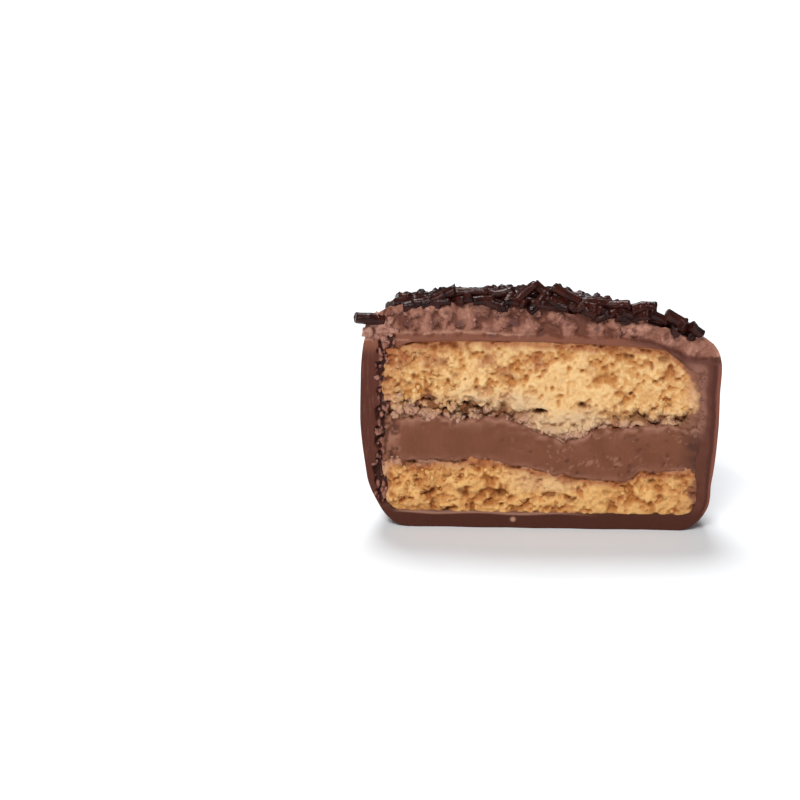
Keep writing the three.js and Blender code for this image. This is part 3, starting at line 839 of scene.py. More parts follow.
# one layer: its face between two edges, and its body behind it. The crumbs want the face alone.
def layerPiece(name, lowAt, highAt, faceAt, step):
    below, above = overlap[name]
    half = core["radius"] + core["tuck"]
    columns = int(round(2 * half / step))
    across = np.linspace(-1, 1, columns + 1)[None, :]
    middle = float(np.mean(highAt(across * half) + above - (lowAt(across * half) - below)))
    rows = int(round(middle / step))
    up = np.linspace(0, 1, rows + 1)[:, None]
    x = core["offset"] + across * half + 0 * up
    for _ in range(3):
        z = mixed(lowAt(x) - below, highAt(x) + above, up)
        wander = np.where(across < 0, sideWander(z, "left"), sideWander(z, "right")) * np.abs(across) ** 4
        x = core["offset"] + across * (coreHalf(z) + core["tuck"] + wander)
    depth, attributes = faceAt(x, z)
    points = np.stack([x.ravel(), depth.ravel(), z.ravel()], 1)
    grid = np.arange(points.shape[0]).reshape(x.shape)
    loop = np.concatenate([grid[0, :], grid[1:, -1], grid[-1, -2::-1], grid[-2:0:-1, 0]])
    behind, faces = backOf(points, loop, half, len(points))
    values, cut = {}, {"points": points, "faces": quads(grid, flip=True), "values": {}}
    for label, value in attributes.items():
        cut["values"][label] = np.broadcast_to(value, x.shape).ravel()
        values[label] = np.concatenate([cut["values"][label], np.zeros(len(behind))])
    return pieceFrom(name, np.concatenate([points, behind]), cut["faces"] + faces, values), cut


coatGrid = {
    "step": 0.15,  # along the outline
    "bands": 30,  # from the outline to the layers
    "turns": 76,  # round the back
    "firstTurns": (0.005, 0.013, 0.025),  # radians, between the cut and the first of those
    "fade": 1.6,  # how far the cut's roughness reaches back on to the skin
    "teeth": 0.7,
    "topHeights": (24.5, 27.5),
    "topEnds": (19, 22),
    "bend": {"left": 23.6, "right": 21.4},  # where the inner edge leaves the wall for the corner
}


# the inner edge of the coat's cut, matched stretch by stretch to the outer edge
def innerLoop(counts):
    floor, foot = core["bottom"], core["bottom"] + core["bottomRound"]

    def half(side, sign):
        edge = core["offset"] + sign * core["radius"]
        flat = core["offset"] + sign * (core["radius"] - core["bottomRound"])
        shoulder = coatGrid["bend"][side]
        rows = np.linspace(shoulder, core["ceiling"], 200)
        sides = core["offset"] + sign * coreHalf(rows)
        last = int(np.argmax(rows > upperTopAt(sides)))
        corner = np.stack([sides, rows], 1)[: last + 1]
        share = [np.linspace(0, 1, count + 1)[1:] for count in (counts[2] + counts[3], counts[5])]
        bottom = np.stack([mixed(0.0, flat, np.linspace(0, 1, counts[0])), np.full(counts[0], floor)], 1)
        under = bezier([(flat, floor), (edge, floor), (edge, foot)], counts[1] + 1)[1:]
        rise = mixed(foot, shoulder, share[0])
        wander = sideWander(rise, side) * zone(rise, foot, foot + 1, shoulder - 1, shoulder)
        wall = np.stack([edge + sign * wander, rise], 1)
        at = np.linspace(0, last, counts[4] + 1)[1:]
        bend = np.stack([np.interp(at, np.arange(last + 1), corner[:, axis]) for axis in (0, 1)], 1)
        across = mixed(sides[last], 0.0, share[1])
        return np.concatenate([bottom, under, wall, bend, np.stack([across, upperTopAt(across)], 1)])

    return np.concatenate([half("right", 1), half("left", -1)[-2:0:-1]])


# the outer skin, and the loop of its points along the cut
def coatSkin(profile):
    last = len(profile) - 1
    even = np.linspace(0, math.pi, coatGrid["turns"] + 1)
    near = np.array(coatGrid["firstTurns"])
    turns = np.concatenate([[0], near, even[1:-1], math.pi - near[::-1], [math.pi]])
    radius, height = profile[1:last, 0][:, None], profile[1:last, 1][:, None]
    x, y, z = settled(radius * np.cos(turns), radius * np.sin(turns), height + 0 * turns)
    grid = np.arange(x.size).reshape(x.shape)
    bottomPole, topPole = x.size, x.size + 1
    poles = np.array([settled(0.0, 0.0, float(profile[n, 1])) for n in (0, last)])
    points = np.concatenate([np.stack([x.ravel(), y.ravel(), z.ravel()], 1), poles])

    # by the cut, the skin follows the relief of the cut face and has a crumbly upper edge
    depth, _ = coatFace(points[:, 0], points[:, 2])
    byCut = np.exp(-points[:, 1] / coatGrid["fade"])
    onTop = smoothstep(points[:, 2], *coatGrid["topHeights"]) * fading(points[:, 0], *coatGrid["topEnds"])
    teeth = noise(points[:, 0] / 1.5, points[:, 1] / 2, 91)
    teeth = teeth + 0.5 * noise(points[:, 0] / 0.55, points[:, 1] / 1, 92) - 0.75
    points[:, 1] += depth * byCut
    points[:, 2] += coatGrid["teeth"] * teeth * onTop * byCut

    faces = quads(grid, flip=True)
    for j in range(len(turns) - 1):
        faces.append([int(grid[0, j + 1]), int(grid[0, j]), bottomPole])
        faces.append([int(grid[-1, j]), int(grid[-1, j + 1]), topPole])
    rim = np.concatenate([[bottomPole], grid[:, 0], [topPole], grid[::-1, -1]])
    return points, faces, rim


def coatPiece():
    profile, counts = resampled(coatStretches(), coatGrid["step"])
    skin, skinFaces, rim = coatSkin(profile)
    share = np.linspace(0, 1, coatGrid["bands"] + 1)[1:]
    bands = mixed(skin[rim][None, :, [0, 2]], innerLoop(counts)[None, :, :], share[:, None, None])
    x, z = bands[..., 0], bands[..., 1]
    depth, attributes = coatFace(x, z)
    shown = np.concatenate([skin, np.stack([x.ravel(), depth.ravel(), z.ravel()], 1)])
    strip = np.concatenate([rim[None, :], len(skin) + np.arange(x.size).reshape(x.shape)])
    cutFaces = quads(np.concatenate([strip, strip[:, :1]], 1), flip=True)
    behind, backFaces = backOf(shown, strip[-1][::-1], core["radius"], len(shown))

    _, atRim = coatFace(skin[rim, 0], skin[rim, 2])
    values = {}
    for label, value in attributes.items():
        onSkin = np.zeros(len(skin))
        onSkin[rim] = atRim[label]
        values[label] = np.concatenate([onSkin, value.ravel(), np.zeros(len(behind))])
    inward = np.repeat(share, x.shape[1])
    values["inward"] = np.concatenate([np.zeros(len(skin)), inward, np.ones(len(behind))])
    slots = [0] * len(skinFaces) + [1] * (len(cutFaces) + len(backFaces))
    cutValues = {label: value[: len(shown)] for label, value in values.items()}
    cut = {"points": shown, "faces": cutFaces, "values": cutValues}
    points, faces = np.concatenate([shown, behind]), skinFaces + cutFaces + backFaces
    return pieceFrom("chocolateCoat", points, faces, values, slots), cut


strands = {
    "count": 230,
    "tries": 1600,
    "spread": (0.7548776662, 0.5698402909),  # steps that lay the tries out evenly over the round
    "pressed": 0.5,  # how far at most a strand too many is pressed down into the heap
    "shortest": 3.2,
    "longest": 5.6,
    "thinnest": 1.1,
    "thickest": 1.36,
    "sink": 0.42,  # share of its thickness that a strand sinks in
    "steepest": 0.45,
    "reach": 20.4,  # from the axis
    "leftEnd": -15.5,  # no strand lies further left than this at the cut
    "leftSlant": 0.6,  # behind the cut that end moves out by this share of the depth
    "rightEnd": 11.0,  # and beyond this only the listed ones
    "rightGap": 2.0,
    "margin": 2.6,  # strands that start this far before the cut can still reach over it
    "stub": 1.3,  # the shortest piece of a cut strand
    "seed": 4117,
    "bedStep": 0.4,  # grid of the heights that they lie on
}
heap = {"thin": 0.95, "thick": 1.6, "thickAt": 4.0, "spread": 8.0}  # how high the strands may pile up
# strands that stand out along the cut: x, y, z, turn, rise, length, width
chosenStrands = [
    (-22.6, 0.9, 28.6, 0.2, -0.12, 3.8, 1.6),
    (-16.4, 1.5, 30.5, 0.1, 0.2, 3.6, 1.25),
    (-13.5, 1.3, 31.5, 0.05, 0.46, 5.0, 1.35),
    (-9.6, 1.6, 32.05, -0.08, 0.02, 5.6, 1.35),
    (-6.0, 1.9, 32.0, 0.12, 0.03, 5.0, 1.4),
    (-6.1, 0.4, 30.9, -0.1, -0.3, 3.8, 1.3),
    (-4.6, 0.7, 31.1, 0.9, 0.5, 3.0, 1.25),
    (-2.1, 1.3, 32.3, 0.35, 0.75, 3.9, 1.45),
    (0.1, 1.9, 32.5, -0.3, -0.6, 2.8, 1.4),
    (-0.4, 0.6, 31.0, 0.5, 0.9, 3.4, 1.3),
    (3.2, 1.0, 32.2, 0.05, -0.62, 4.1, 1.5),
    (2.0, 0.5, 31.0, -0.4, -0.35, 3.6, 1.25),
    (7.2, 1.5, 31.0, 0.06, -0.05, 4.2, 1.4),
    (10.2, 1.3, 30.75, -0.25, 0.02, 3.2, 1.5),
    (8.6, 0.5, 29.5, 0.25, 0.2, 3.2, 1.25),
    (6.3, 0.4, 30.1, -0.5, -0.5, 2.6, 1.2),
    (11.3, 0.5, 29.75, 0.7, -0.35, 2.5, 1.3),
    (13.4, 1.2, 30.5, 0.15, 0.1, 3.4, 1.5),
    (13.1, 0.6, 29.4, -0.4, 0.35, 2.6, 1.2),
    (15.4, 0.8, 29.3, 0.5, -0.5, 2.8, 1.25),
    (17.7, 0.9, 29.0, 0.2, -0.5, 3.0, 1.7),
    (18.9, 1.0, 28.2, 1.1, -0.45, 2.4, 1.35),
    (20.4, 0.8, 27.6, 0.45, -0.95, 2.1, 1.35),
]


# height of the coat's top over any point of the round
def coatTop():
    profile, _ = resampled(coatStretches(), 0.3)
    top = profile[int(np.argmax(profile[:, 0])):]
    order = np.argsort(top[:, 0])

    def topAt(x, y):
        radius = np.hypot(x, y)
        _, _, z = settled(x, y, np.interp(radius, top[order, 0], top[order, 1]))
        return np.where(radius < coat["radius"], z, -1e9)

    return topAt


# height and slope of a rod that comes to rest on the surface below it, at its middle
def resting(heights, along):
    middle = len(along) // 2
    best, rise = heights[middle], 0.0
    for a in range(middle):
        for b in range(middle + 1, len(along)):
            slope = (heights[b] - heights[a]) / (along[b] - along[a])
            height = heights[a] - slope * along[a]
            if height > best:
                best, rise = height, slope
    return best, min(max(rise, -strands["steepest"]), strands["steepest"])


# drops strands one by one, each on what lies there already
def strewnStrands(topAt):
    step = strands["bedStep"]
    half = math.ceil(coat["radius"] / step)
    line = np.arange(-half, half + 1) * step
    bed = topAt(line[None, :], line[:, None])
    draw = randomFrom(strands["seed"])

    def cell(x, y):
        return np.floor(y / step + 0.5).astype(int) + half, np.floor(x / step + 0.5).astype(int) + half

    laid, n = [], 0
    while len(laid) < strands["count"] and n < strands["tries"]:
        n += 1
        x = ((n * strands["spread"][0]) % 1 * 2 - 1) * strands["reach"]
        y = (n * strands["spread"][1]) % 1 * (strands["reach"] + strands["margin"]) - strands["margin"]
        turn = draw(0, math.pi)
        length = draw(strands["shortest"], strands["longest"])
        width = draw(strands["thinnest"], strands["thickest"])
        c, s = math.cos(turn), math.sin(turn)

        # the knife cuts off what reaches over the edge
        run = length / 2 * s
        front, back = y - abs(run), y + abs(run)
        if front < 0:
            kept = 0 if back <= 0 else back / (back - front)
            slide = (1 - kept) * length / 2 * math.copysign(1, run)
            x, y, length = x + slide * c, y + slide * s, length * kept
        outside = math.hypot(x, y) > strands["reach"] or x < strands["leftEnd"] - strands["leftSlant"] * y
        bare = x > strands["rightEnd"] and y < strands["rightGap"]
        if outside or bare or length < strands["stub"]:
            continue

        along = np.arange(-5, 6) / 5 * 0.45 * length
        best, rise = resting(bed[cell(x + along * c, y + along * s)], along)
        z = best + width / 2 * (1 - strands["sink"])
        crest = math.exp(-(((x - heap["thickAt"]) / heap["spread"]) ** 2))
        allowed = mixed(heap["thin"], heap["thick"], crest)
        tooHigh = z + width / 2 - float(topAt(x, y)) - allowed
        if tooHigh > strands["pressed"]:
            continue
        laid.append((x, y, z - max(tooHigh, 0), turn, rise, length, width))
        if tooHigh > 0:
            continue
        u = np.arange(-length / 2, length / 2, step / 2)
        u, v = np.meshgrid(u, np.arange(-width / 2, width / 2, step / 2))
        top = z + u * rise + np.sqrt(np.clip((width / 2) ** 2 - v**2, 0, None))
        np.maximum.at(bed, cell(x + u * c - v * s, y + u * s + v * c), top)
    return laid


# a small hand for building a geometry tree
class Tree:
    def __init__(self, name):
        self.group = bpy.data.node_groups.new(name, "GeometryNodeTree")
        self.group.is_modifier = True
        self.identifiers = {}
        self.entry = None

    def input(self, name, kind, value=None):
        socket = self.group.interface.new_socket(name, in_out="INPUT", socket_type=kind)
        if value is not None:
            socket.default_value = value
        self.identifiers[name] = socket.identifier

    def given(self, name):
        if self.entry is None:
            self.entry = self.group.nodes.new("NodeGroupInput")
        return self.entry.outputs[name]

    def add(self, kind, settings=None, inputs=None, output=0):
        node = self.group.nodes.new(kind)
        for key, value in (settings or {}).items():
            setattr(node, key, value)
        for key, value in (inputs or {}).items():
            if isinstance(value, bpy.types.NodeSocket):
                self.group.links.new(value, node.inputs[key])
            else:
                node.inputs[key].default_value = value
        return node.outputs[output]

    def maths(self, operation, *values):
        return self.add("ShaderNodeMath", {"operation": operation}, dict(enumerate(values)))

    def vectors(self, operation, *values):
        return self.add("ShaderNodeVectorMath", {"operation": operation}, dict(enumerate(values)))

    def named(self, name, kind):
        return self.add("GeometryNodeInputNamedAttribute", {"data_type": kind}, {"Name": name})

    # ends the tree: real meshes, shaken out of their even form, with their material
    def end(self, instances):
        self.group.interface.new_socket("Geometry", in_out="OUTPUT", socket_type="NodeSocketGeometry")
        real = self.add("GeometryNodeRealizeInstances", None, {0: instances})
        place = self.add("GeometryNodeInputPosition")
        waves = {"Vector": place, "Scale": self.given("Shake scale"), "Detail": 1.0}
        wave = self.vectors("SUBTRACT", self.add("ShaderNodeTexNoise", None, waves, 1), (0.5, 0.5, 0.5))
        inputs = {0: wave, "Scale": self.given("Shake")}
        shift = self.add("ShaderNodeVectorMath", {"operation": "SCALE"}, inputs)
        shaken = self.add("GeometryNodeSetPosition", None, {"Geometry": real, "Offset": shift})
        smooth = self.add("GeometryNodeSetShadeSmooth", None, {0: shaken, "Shade Smooth": True})
        inputs = {"Geometry": smooth, "Material": self.given("Finish")}
        done = self.add("GeometryNodeSetMaterial", None, inputs)
        self.group.links.new(done, self.group.nodes.new("NodeGroupOutput").inputs[0])


# hangs a tree on an object, and keeps only the plain mesh it makes
def grown(piece, tree, values):
    modifier = piece.modifiers.new("grown", "NODES")
    modifier.node_group = tree.group
    for name, value in values.items():
        modifier[tree.identifiers[name]] = value
    depsgraph = bpy.context.evaluated_depsgraph_get()
    mesh = bpy.data.meshes.new_from_object(
        piece.evaluated_get(depsgraph), preserve_all_data_layers=True, depsgraph=depsgraph
    )
    piece.modifiers.clear()
    old = piece.data
    piece.data = mesh
    bpy.data.meshes.remove(old)
    mesh.name = piece.name
    return piece


wholeTurn = 6.283


# bent rods with rounded-off ends, laid along the vector of each point
def strandTree():
    tree = Tree("strewnStrands")
    tree.input("Points", "NodeSocketGeometry")
    tree.input("Bend", "NodeSocketFloat", 0.28)
    tree.input("End taper", "NodeSocketFloat", 0.3)
    tree.input("Shake", "NodeSocketFloat", 1.0 * mm)
    tree.input("Shake scale", "NodeSocketFloat", 0.75 / mm)
    tree.input("Seed", "NodeSocketInt", 7)
    tree.input("Finish", "NodeSocketMaterial")
    sizes = {"Vertices": 8, "Side Segments": 6, "Radius": 0.5, "Depth": 1.0}  # scaled by span
    rod = tree.add("GeometryNodeMeshCylinder", {"fill_type": "NGON"}, sizes)
    place = tree.add("GeometryNodeInputPosition")
    apart = tree.add("ShaderNodeSeparateXYZ", None, {0: place}).node.outputs
    far = tree.maths("ABSOLUTE", apart[2])
    eased = tree.maths("POWER", tree.maths("MULTIPLY_ADD", far, -2.0, 1.0), 4.0)
    size = tree.maths("MULTIPLY_ADD", eased, -0.5, 0.5)
    height = tree.maths("MULTIPLY", size, tree.maths("SIGN", apart[2]))
    lost = tree.maths("MULTIPLY", tree.maths("GREATER_THAN", far, 0.49), tree.given("End taper"))
    kept = tree.maths("SUBTRACT", 1.0, lost)
    sag = tree.maths("MULTIPLY", tree.maths("MULTIPLY", height, height), tree.given("Bend"))
    bent = tree.maths("SUBTRACT", tree.maths("MULTIPLY", apart[0], kept), sag)
    parts = {0: bent, 1: tree.maths("MULTIPLY", apart[1], kept), 2: height}
    there = tree.add("ShaderNodeCombineXYZ", None, parts)
    shaped = tree.add("GeometryNodeSetPosition", None, {"Geometry": rod, "Position": there})
    along = {"Vector": tree.named("along", "FLOAT_VECTOR")}
    aim = tree.add("FunctionNodeAlignRotationToVector", {"axis": "Z"}, along)
    limits = {"Min": 0.0, "Max": wholeTurn, "Seed": tree.given("Seed")}
    roll = tree.add("FunctionNodeRandomValue", {"data_type": "FLOAT"}, limits, 1)
    spin = tree.add("FunctionNodeAxisAngleToRotation", None, {"Axis": (0, 0, 1), "Angle": roll})
    turned = tree.add("FunctionNodeRotateRotation", {"rotation_space": "LOCAL"}, {0: aim, 1: spin})
    inputs = {
        "Points": tree.given("Points"),
        "Instance": shaped,
        "Rotation": turned,
        "Scale": tree.named("span", "FLOAT_VECTOR"),
    }
    tree.end(tree.add("GeometryNodeInstanceOnPoints", None, inputs))
    return tree


# small rough lumps scattered over a surface, as thickly as its attribute called share says
def crumbTree(name):
    tree = Tree(name)
    tree.input("Surface", "NodeSocketGeometry")
    tree.input("Density", "NodeSocketFloat", 1e6)
    tree.input("Smallest", "NodeSocketFloat", 0.1 * mm)
    tree.input("Largest", "NodeSocketFloat", 0.4 * mm)
    tree.input("Few large", "NodeSocketFloat", 2.0)
    tree.input("Sunk", "NodeSocketVector", (0.0, 0.12 * mm, 0.0))  # back into the face
    tree.input("Detail", "NodeSocketInt", 1)
    tree.input("Shake", "NodeSocketFloat", 0.5 * mm)
    tree.input("Shake scale", "NodeSocketFloat", 2.2 / mm)
    tree.input("Seed", "NodeSocketInt", 1)
    tree.input("Finish", "NodeSocketMaterial")
    density = tree.maths("MULTIPLY", tree.named("share", "FLOAT"), tree.given("Density"))
    spread = {"Mesh": tree.given("Surface"), "Density": density, "Seed": tree.given("Seed")}
    points = tree.add("GeometryNodeDistributePointsOnFaces", None, spread)
    points = tree.add("GeometryNodeSetPosition", None, {"Geometry": points, "Offset": tree.given("Sunk")})
    # where a crumb takes a biscuit's finish, it gets little of the painted shade of the hollows and shows
    # as a lit crest
    limits = {2: 0.0, 3: 0.5, "Seed": 77}
    shade = tree.add("FunctionNodeRandomValue", {"data_type": "FLOAT"}, limits, 1)
    inputs = {"Geometry": points, "Name": "hollow", "Value": shade}
    points = tree.add("GeometryNodeStoreNamedAttribute", {"data_type": "FLOAT", "domain": "POINT"}, inputs)
    inputs = {"Radius": 0.5, "Subdivisions": tree.given("Detail")}
    ball = tree.add("GeometryNodeMeshIcoSphere", None, inputs)
    place = tree.add("GeometryNodeInputPosition")
    rough = tree.add("ShaderNodeTexNoise", None, {"Vector": place, "Scale": 3.1, "Detail": 2.0})
    swell = tree.maths("MULTIPLY", rough, 2.0)
    lumpy = tree.add("ShaderNodeVectorMath", {"operation": "SCALE"}, {0: place, "Scale": swell})
    shaped = tree.add("GeometryNodeSetPosition", None, {"Geometry": ball, "Position": lumpy})
    seed = tree.given("Seed")
    limits = {"Min": (0, 0, 0), "Max": (wholeTurn, wholeTurn, wholeTurn), "Seed": seed}
    turn = tree.add("FunctionNodeRandomValue", {"data_type": "FLOAT_VECTOR"}, limits)
    chance = tree.add("FunctionNodeRandomValue", {"data_type": "FLOAT"}, {2: 0.0, 3: 1.0, "Seed": seed}, 1)
    few = tree.maths("POWER", chance, tree.given("Few large"))
    growth = tree.maths("SUBTRACT", tree.given("Largest"), tree.given("Smallest"))
    size = tree.maths("ADD", tree.maths("MULTIPLY", few, growth), tree.given("Smallest"))
    limits = {"Min": (0.6, 0.6, 0.6), "Max": (1.25, 1.25, 1.25), "Seed": seed}
    squash = tree.add("FunctionNodeRandomValue", {"data_type": "FLOAT_VECTOR"}, limits)
    scale = tree.add("ShaderNodeVectorMath", {"operation": "SCALE"}, {0: squash, "Scale": size})
    inputs = {"Points": points, "Instance": shaped, "Rotation": turn, "Scale": scale}
    tree.end(tree.add("GeometryNodeInstanceOnPoints", None, inputs))
    return tree


def strandPiece(finish):
    laid = np.array(chosenStrands + strewnStrands(coatTop()))
    turn, rise, length, width = laid[:, 3:].T
    along = np.stack([np.cos(turn), np.sin(turn), rise], 1)
    span = np.stack([width, width, length], 1) * mm
    piece = pieceFrom("chocolateStrands", laid[:, :3], [], {"along": along, "span": span})
    print("strands:", len(laid))
    return grown(piece, strandTree(), {"Finish": finish})


# crumbs on the part of a cut face where they gather, with the look of the crumb under them
def crumbPiece(name, cut, shareAt, settings):
    share = shareAt(cut["points"][:, 0], cut["points"][:, 2])
    corners = np.asarray(cut["faces"])
    corners = corners[share[corners].min(1) > 0]
    used, renumbered = np.unique(corners, return_inverse=True)
    values = {label: value[used] for label, value in {**cut["values"], "share": share}.items()}
    piece = pieceFrom(name, cut["points"][used], renumbered.reshape(corners.shape).tolist(), values)
    return grown(piece, crumbTree(name), settings)


# a colour as a screen shows it, made the linear one that shaders take
def tint(red, green, blue):
    return (*[((part / 255 + 0.055) / 1.055) ** 2.4 for part in (red, green, blue)], 1.0)


# a shader socket that can be reckoned with
class Wire:
    def __init__(self, paint, socket):
        self.paint, self.socket = paint, socket

    def maths(self, operation, first, second):
        return self.paint.node("ShaderNodeMath", {"operation": operation}, {0: first, 1: second})

    def __add__(self, other):
        return self.maths("ADD", self, other)

    def __radd__(self, other):
        return self.maths("ADD", other, self)

    def __sub__(self, other):
        return self.maths("SUBTRACT", self, other)

    def __rsub__(self, other):
        return self.maths("SUBTRACT", other, self)

    def __mul__(self, other):
        return self.maths("MULTIPLY", self, other)

    def __rmul__(self, other):
        return self.maths("MULTIPLY", other, self)

    def clamped(self):
        return self.paint.node("ShaderNodeClamp", None, {"Value": self})

    def between(self, low, high):
        inputs = {"Value": self, "From Min": low, "From Max": high}
        return self.paint.node("ShaderNodeMapRange", {"interpolation_type": "SMOOTHSTEP"}, inputs)


# one material, built node by node around a Principled shader
class Paint:
    def __init__(self, name, fixed):
        self.material = bpy.data.materials.new(name)
        self.material.use_nodes = True
        self.tree = self.material.node_tree
        self.tree.nodes.clear()
        self.shader = self.tree.nodes.new("ShaderNodeBsdfPrincipled")
        out = self.tree.nodes.new("ShaderNodeOutputMaterial")
        self.tree.links.new(self.shader.outputs[0], out.inputs["Surface"])
        for key, value in fixed.items():
            self.shader.inputs[key].default_value = value
        place = self.node("ShaderNodeTexCoord", output="Object")
        self.place = self.node("ShaderNodeVectorMath", {"operation": "SCALE"}, {0: place, "Scale": 1 / mm})

    def node(self, kind, settings=None, inputs=None, output=0):
        made = self.tree.nodes.new(kind)
        for key, value in (settings or {}).items():
            setattr(made, key, value)
        for key, value in (inputs or {}).items():
            self.feed(made.inputs[key], value)
        return Wire(self, made.outputs[output])

    def feed(self, socket, value):
        if isinstance(value, Wire):
            self.tree.links.new(value.socket, socket)
        else:
            socket.default_value = value

    def attribute(self, name):
        return self.node("ShaderNodeAttribute", {"attribute_name": name}, None, "Fac")

    # a place along one of the axes, 0 to 2, in millimetres
    def along(self, axis):
        return self.node("ShaderNodeSeparateXYZ", None, {0: self.place}, axis)

    def noise(self, size, detail=3.0, rough=0.55, stretch=None):
        place = self.place
        if stretch:
            place = self.node("ShaderNodeVectorMath", {"operation": "MULTIPLY"}, {0: place, 1: stretch})
        inputs = {"Vector": place, "Scale": 1.0 / size, "Detail": detail, "Roughness": rough}
        return self.node("ShaderNodeTexNoise", None, inputs, "Fac")

    # the colour a, with a share of the colour b
    def mix(self, share, a, b):
        return self.node("ShaderNodeMix", {"data_type": "RGBA"}, {0: share, 6: a, 7: b}, 2)

    def bump(self, height, depth):
        inputs = {"Height": height, "Distance": depth * mm}
        self.feed(self.shader.inputs["Normal"], self.node("ShaderNodeBump", None, inputs))

    def put(self, values):
        for key, value in values.items():
            self.feed(self.shader.inputs[key], value)
        return self.material


softInside = {
    "Subsurface Radius": (1.0, 0.55, 0.3),
    "Subsurface Scale": 0.5 * mm,
    "Specular IOR Level": 0.3,
}

# crest, hollow, pit and deepPit paint shade into the crumb: lighter on crests, darker in hollows and pits
biscuitColours = {
    "upper": {"crest": tint(245, 203, 143), "base": tint(222, 168, 105), "hollow": tint(192, 128, 68)},
    "lower": {"crest": tint(242, 190, 121), "base": tint(217, 156, 92), "hollow": tint(180, 112, 54)},
    "pit": tint(150, 92, 44),
    "deepPit": tint(64, 32, 18),
    "toast": tint(172, 100, 60),
    "pale": tint(224, 190, 150),
    "pink": tint(196, 150, 126),
    "sliver": tint(128, 80, 63),
}


def biscuitFinish(name, colours):
    paint = Paint(name, {**softInside, "Subsurface Weight": 0.12})
    hollow, pit = paint.attribute("hollow"), paint.attribute("pit")
    blotch, grain = paint.noise(2.2, 2.0), paint.noise(0.3, 4.0, 0.62)
    # painted shade: lighter on the crests, darker into the hollows
    sunk = (hollow + (grain - 0.5) * 0.55).clamped()
    colour = paint.mix(sunk.between(0.0, 0.32), colours["crest"], colours["base"])
    colour = paint.mix(sunk.between(0.3, 0.8), colour, colours["hollow"])
    colour = paint.mix(grain.between(0.5, 0.66) * hollow * 0.5, colour, colours["base"])
    colour = paint.mix(blotch.between(0.45, 0.75) * 0.2, colour, colours["hollow"])
    colour = paint.mix((paint.attribute("pale") * 0.8).clamped(), colour, biscuitColours["pale"])
    toast = paint.attribute("toast") * (0.55 + paint.noise(0.8, 3.0) * 0.9)
    colour = paint.mix(toast.clamped() * 0.85, colour, biscuitColours["toast"])
    pink = paint.attribute("pink") * (0.35 + paint.noise(0.5, 3.0) * 1.3)
    colour = paint.mix(pink.clamped() * 0.9, colour, biscuitColours["pink"])
    colour = paint.mix(paint.attribute("sliver"), colour, biscuitColours["sliver"])
    # painted shade in the pits, darkest in the deepest
    shallow = (pit + (grain - 0.5) * 0.3).between(0.1, 0.75)
    colour = paint.mix(shallow * 0.8, colour, biscuitColours["pit"])
    deep = (pit + (grain - 0.5) * 0.2).between(0.72, 1.0)
    colour = paint.mix(deep * 0.9, colour, biscuitColours["deepPit"])
    paint.bump(grain + 0.6 * paint.noise(0.11, 3.0), 0.14)
    return paint.put({"Base Color": colour, "Roughness": 0.85 - grain * 0.1})


def crumbFinish(name, light, dark):
    paint = Paint(name, {**softInside, "Subsurface Weight": 0.1})
    broad, grain = paint.noise(0.7, 2.0), paint.noise(0.14, 3.0)
    colour = paint.mix((broad.between(0.3, 0.7) + (grain - 0.5) * 0.6).clamped(), light, dark)
    paint.bump(grain, 0.08)
    return paint.put({"Base Color": colour, "Roughness": 0.7 + grain * 0.15})


# painted highlights: the wall's streaks, the right rim and light; painted shade: dark, speck, the crest to
# hollow ramp, and crease
cutColours = {
    "wall": tint(86, 41, 28),
    "wallStreakSheen": tint(122, 72, 58),
    "floor": tint(78, 38, 25),
    "right": tint(96, 52, 38),
    "rightRimHighlight": tint(132, 76, 60),
    "smear": tint(146, 100, 84),
    "line": tint(74, 34, 26),
    "smooth": tint(130, 77, 57),
    "crest": tint(190, 138, 118),
    "base": tint(158, 108, 90),
    "hollow": tint(114, 69, 55),
    "dark": tint(68, 35, 30),
    "speck": tint(160, 108, 92),
    "light": tint(196, 146, 122),
    "crease": tint(98, 56, 46),
    "cutEnd": tint(92, 58, 54),
}


cutZones = {
    "left": (-22.0, -19.0),
    "right": (18.0, 21.0),
    "underTop": (23.5, 25.5),
    "floor": (1.5, 3.6),
    "smearFrom": (12.0, 15.0),
    "smearTo": (23.0, 25.0),
}


